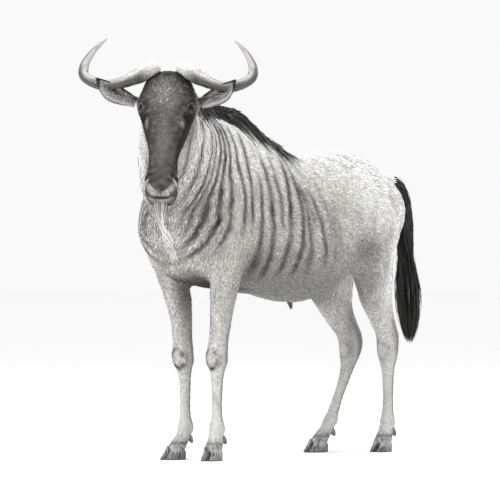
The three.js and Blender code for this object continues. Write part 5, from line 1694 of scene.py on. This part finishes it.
start = in_head(out, -14 + 0 * out, down)
up_and_out = in_head(out * 1.25, -4 + 0 * out, down - 30) - start
heights = [np.full(count, height) for height in (3.0, 6.0, 9.0)]
curve = draped(start, up_and_out, draw.uniform(18, 40, count), heights, 0)
wide = draw.uniform(3, 7, count)
tone = draw.uniform(0.6, 2.4, count)
broad = unit(np.cross(up_and_out, [0.0, 1.0, 0.0]))
strips.append(locks(curve, broad, wide, wide * 0.25, INK_HAIR, INK_TIP, tone))
hair_piece("mane_hair", stacked(strips), dark_finish, "dark_hair", "mane")
print("mane locks:", sum(len(points) for points, *_ in strips) // LOCK_POINTS)


# %% The beard
beard_at = through([
    [0, -44, 540, 196, 50], [1, -70, 547, 218, 50], [2, -100, 545, 206, 40], [3, -112, 505, 196, 20],
    [4, -118, 455, 196, 4], [5, -132, 405, 190, 0], [6, -150, 358, 170, 0], [7, -178, 312, 130, 0],
])


SWING = 0.788, 0.616  # the beard swings this way, a unit vector of x and y


def beard_point(s, across, down):
    """Out to the head's left and down from the root, with the swing of the hair."""
    level, t, length, swing = beard_at(s)
    point = in_head(across, level + 8, t - 8)
    drift = swing * smooth(down / length, 0.35, 0.95)
    return point + np.stack([SWING[0] * drift, SWING[1] * drift, -down], -1)


count = 1300
s = draw.uniform(0.05, 6.9, count)
length = beard_at(s)[2]
side = draw.uniform(-1, 1, count)
wide = np.where(s < 2.4, 1.5, 1.0)
down = length * draw.uniform(0.45, 1.05, count)
wave = 0.7 * np.sin(np.round(s * 2.5 + side) * 2.3) + 0.15 * draw.normal(size=count)  # locks wave together
curve = np.stack([
    beard_point(s, side * 18 * wide, 0 * s - 8),
    beard_point(s + 0.1, side * 11 * wide + 4 * wave, down * 0.28),
    beard_point(np.minimum(s + 0.15, 7), side * 6 * wide - 7 * wave, down * 0.55),
    beard_point(np.minimum(s + 0.15, 7), side * 6 * wide + 5 * wave, down * 0.8),
    beard_point(np.clip(s + draw.uniform(-0.25, 0.3, count), 0, 7), side * 4 - 4 * wave, down),
], 1)
broad = unit(np.stack([draw.normal(0, 1, count), draw.normal(0, 1, count), 0 * s], -1))
wide = draw.uniform(2, 6, count)
PALE_HAIR, PALE_TIP = 0.7 * linear("#8a8886"), linear("#d2d1ce")
tone = np.exp(draw.normal(-0.05, 0.6, count))
strips = locks(curve, broad, wide, wide * 0.3, PALE_HAIR, PALE_TIP, tone)
hair_piece("beard_hair", strips, pale_finish, "pale_hair", "beard")


# %% Tail tuft and sheath tuft
TIERS = 5  # the tips of the clumps lie in so many steps, one below the other


def hank(rows, count, wide, span, clumps, draw):
    """Locks hung in pointed clumps all round a line of sections: x, y, z, half-width, half-depth."""
    at = through([[i, *row] for i, row in enumerate(rows)])
    last, groups = len(rows) - 1, clumps * TIERS
    room = last - span
    start = room * draw.random(count) ** 0.9
    angle = draw.uniform(0, 2 * np.pi, count)
    tier = np.minimum((start / room * TIERS).astype(int), TIERS - 1)
    own = np.floor(angle / (2 * np.pi) * clumps).astype(int) + clumps * tier
    ends = draw.uniform(0.72, 1.0, groups)[own] * span + (tier + 1) / TIERS * room
    center = (np.arange(groups) % clumps + draw.uniform(0.2, 0.8, groups)) / clumps * 2 * np.pi
    spread = draw.uniform(0.7, 1.18, groups)[own]
    stray = draw.random(count) < 0.08
    furthest = np.where(stray, last, np.minimum(ends, last))
    reach = np.minimum(start + span * draw.uniform(0.8, 1.05, count), furthest)
    depth = draw.random(count) ** 0.5 * np.where(stray, 1.15, 1)

    def around(share, a, scale):
        """Places a share of the way down each lock, at angle a round the line."""
        x, y, z, across, deep = at(start + (reach - start) * share)
        return np.stack([x + np.sin(a) * across * scale, y + np.cos(a) * deep * scale, z], -1)

    twist = draw.normal(0, 0.18, count) * stray
    toward = (center[own] - angle) * ~stray
    curve = np.stack([
        around(0, angle, 0.25),
        around(0.3, angle + 0.06, 0.85 * depth),
        around(0.65, angle + toward * 0.55 + twist, 0.98 * depth),
        around(1, angle + toward * 0.9 + 1.5 * twist, spread * np.maximum(depth, 0.6)),
    ], 1)
    outward = around(0.4, angle, 1) - around(0.4, angle, 0)
    broad = unit(np.stack([outward[:, 1], -outward[:, 0], 0 * start], -1))
    return curve, broad, wide * draw.uniform(0.6, 1.4, count)


TUFT = [
    [14, 1374, 960, 20, 22], [16, 1376, 930, 24, 26], [18, 1377, 905, 25, 27], [19, 1378, 850, 27, 29],
    [22, 1380, 780, 38, 40], [26, 1384, 700, 51, 53], [30, 1386, 620, 54, 56], [32, 1388, 540, 42, 44],
    [34, 1388, 470, 26, 26], [34, 1388, 436, 12, 12],
]
curve, broad, wide = hank(TUFT, 1700, 7, 3.9, 11, draw)
tone = np.exp(draw.normal(0.1, 0.6, len(curve)))
tail_strips = [locks(curve, broad, wide, wide * 0.28, INK_HAIR, INK_TIP, tone)]
count = 620  # hair of the dock: from the root of the tail down over the tuft
s = draw.uniform(1.15, 4.5, count)
angle = draw.uniform(-2.6, 2.6, count)
fall = draw.uniform(0.9, 1.9, count)
below = np.stack([0 * s, 0 * s, 60 * np.maximum(s + fall - 5, 0)], -1)
curve = np.stack([
    dock(s, angle, -8),
    dock(np.minimum(s + fall * 0.35, 5), angle, 5 + 5 * draw.random(count)),
    dock(np.minimum(s + fall * 0.7, 5), angle * 0.95, 8 + 8 * draw.random(count)),
    dock(np.minimum(s + fall, 5), angle * 0.9, 6 + 8 * draw.random(count)) - below,
], 1)
outward = dock(s + 0.2, angle, 10) - dock(s + 0.2, angle, 0)
broad = unit(np.cross(outward, curve[:, 2] - curve[:, 0]))
wide = draw.uniform(4, 10, count)
tone = np.exp(draw.normal(0.1, 0.6, count))
tail_strips.append(locks(curve, broad, wide, wide * 0.28, INK_HAIR, INK_TIP, tone))
hair_piece("tail_hair", stacked(tail_strips), dark_finish, "dark_hair", "tail_tuft")
SHEATH = [[0, 604, 675, 18, 24], [0, 608, 630, 12, 16], [0, 615, 606, 7, 9], [0, 622, 588, 2, 3]]
curve, broad, wide = hank(SHEATH, 180, 4, 1.9, 5, draw)
strips = locks(curve, broad, wide, wide * 0.28, MID_GREY, MASK, draw.uniform(0.5, 1.6, len(curve)))
hair_piece("sheath_hair", strips, dark_finish, "dark_hair", "sheath")


# %% [markdown]
# ## Stage, light and camera
# A plain pale floor lies in a room of even white light, as in a studio. Large soft lights stand to the
# left, to the right and above. The camera is far away with a long lens, level with the body, a little to
# the left of the animal's front.


# %% Floor
FLOOR_REACH = 60.0
corners = np.array([[-1, -1, 0], [1, -1, 0], [1, 1, 0], [-1, 1, 0]]) * FLOOR_REACH
floor = mesh_object("pale_floor", corners, [[0, 1, 2], [0, 2, 3]])
floor_finish = bpy.data.materials.new("pale_painted_floor")
floor_finish.use_nodes = True
floor_finish.node_tree.nodes["Principled BSDF"].inputs["Base Color"].default_value = (*linear("#fefefe"), 1)
floor_finish.node_tree.nodes["Principled BSDF"].inputs["Roughness"].default_value = 0.9
floor.data.materials.append(floor_finish)


# %% Lights and camera
def soft_light(name, place, size, power, target=(0, 0, 0.9)):
    """A square area light that faces the middle of the body, or another target."""
    light = bpy.data.lights.new(name, "AREA")
    light.size, light.energy = size, power
    lamp = bpy.data.objects.new(name, light)
    lamp.location = place
    lamp.rotation_euler = (Vector(target) - Vector(place)).to_track_quat("-Z", "Y").to_euler()
    bpy.context.scene.collection.objects.link(lamp)


soft_light("key", (0.6, -8.0, 5.6), 2.6, 520)
soft_light("fill", (7.8, 0.0, 4.2), 2.5, 170, (0.1, -0.8, 1.3))
soft_light("top", (0.0, 0.5, 7.0), 4.0, 300)
soft_light("front", (-1.9, -6.6, 3.4), 1.2, 60, (0.0, -0.9, 1.38))
world = bpy.data.worlds.new("pale_room")
world.use_nodes = True
world.node_tree.nodes["Background"].inputs["Color"].default_value = (1.0, 1.0, 1.0, 1)
world.node_tree.nodes["Background"].inputs["Strength"].default_value = 0.95
bpy.context.scene.world = world
CAMERA_PLACE, CAMERA_HEADING = (12.1734, -15.7896, 0.834), (-0.61566, 0.78801, 0)
LENS_LENGTH, SENSOR_WIDTH = 356.3, 36  # mm
lens = bpy.data.cameras.new("camera")
lens.lens, lens.sensor_width, lens.clip_end = LENS_LENGTH, SENSOR_WIDTH, 200
camera = bpy.data.objects.new("camera", lens)
camera.location = CAMERA_PLACE
camera.rotation_euler = Vector(CAMERA_HEADING).to_track_quat("-Z", "Y").to_euler()
bpy.context.scene.collection.objects.link(camera)
bpy.context.scene.camera = camera
bpy.context.scene.view_settings.view_transform = "Standard"

# %% Sizes
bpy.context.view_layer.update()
made = [thing.data for thing in bpy.data.objects if thing.type == "MESH" and "coat" in thing.data.attributes]
print("sizes written; triangles in all:", sum(len(mesh.polygons) for mesh in made))
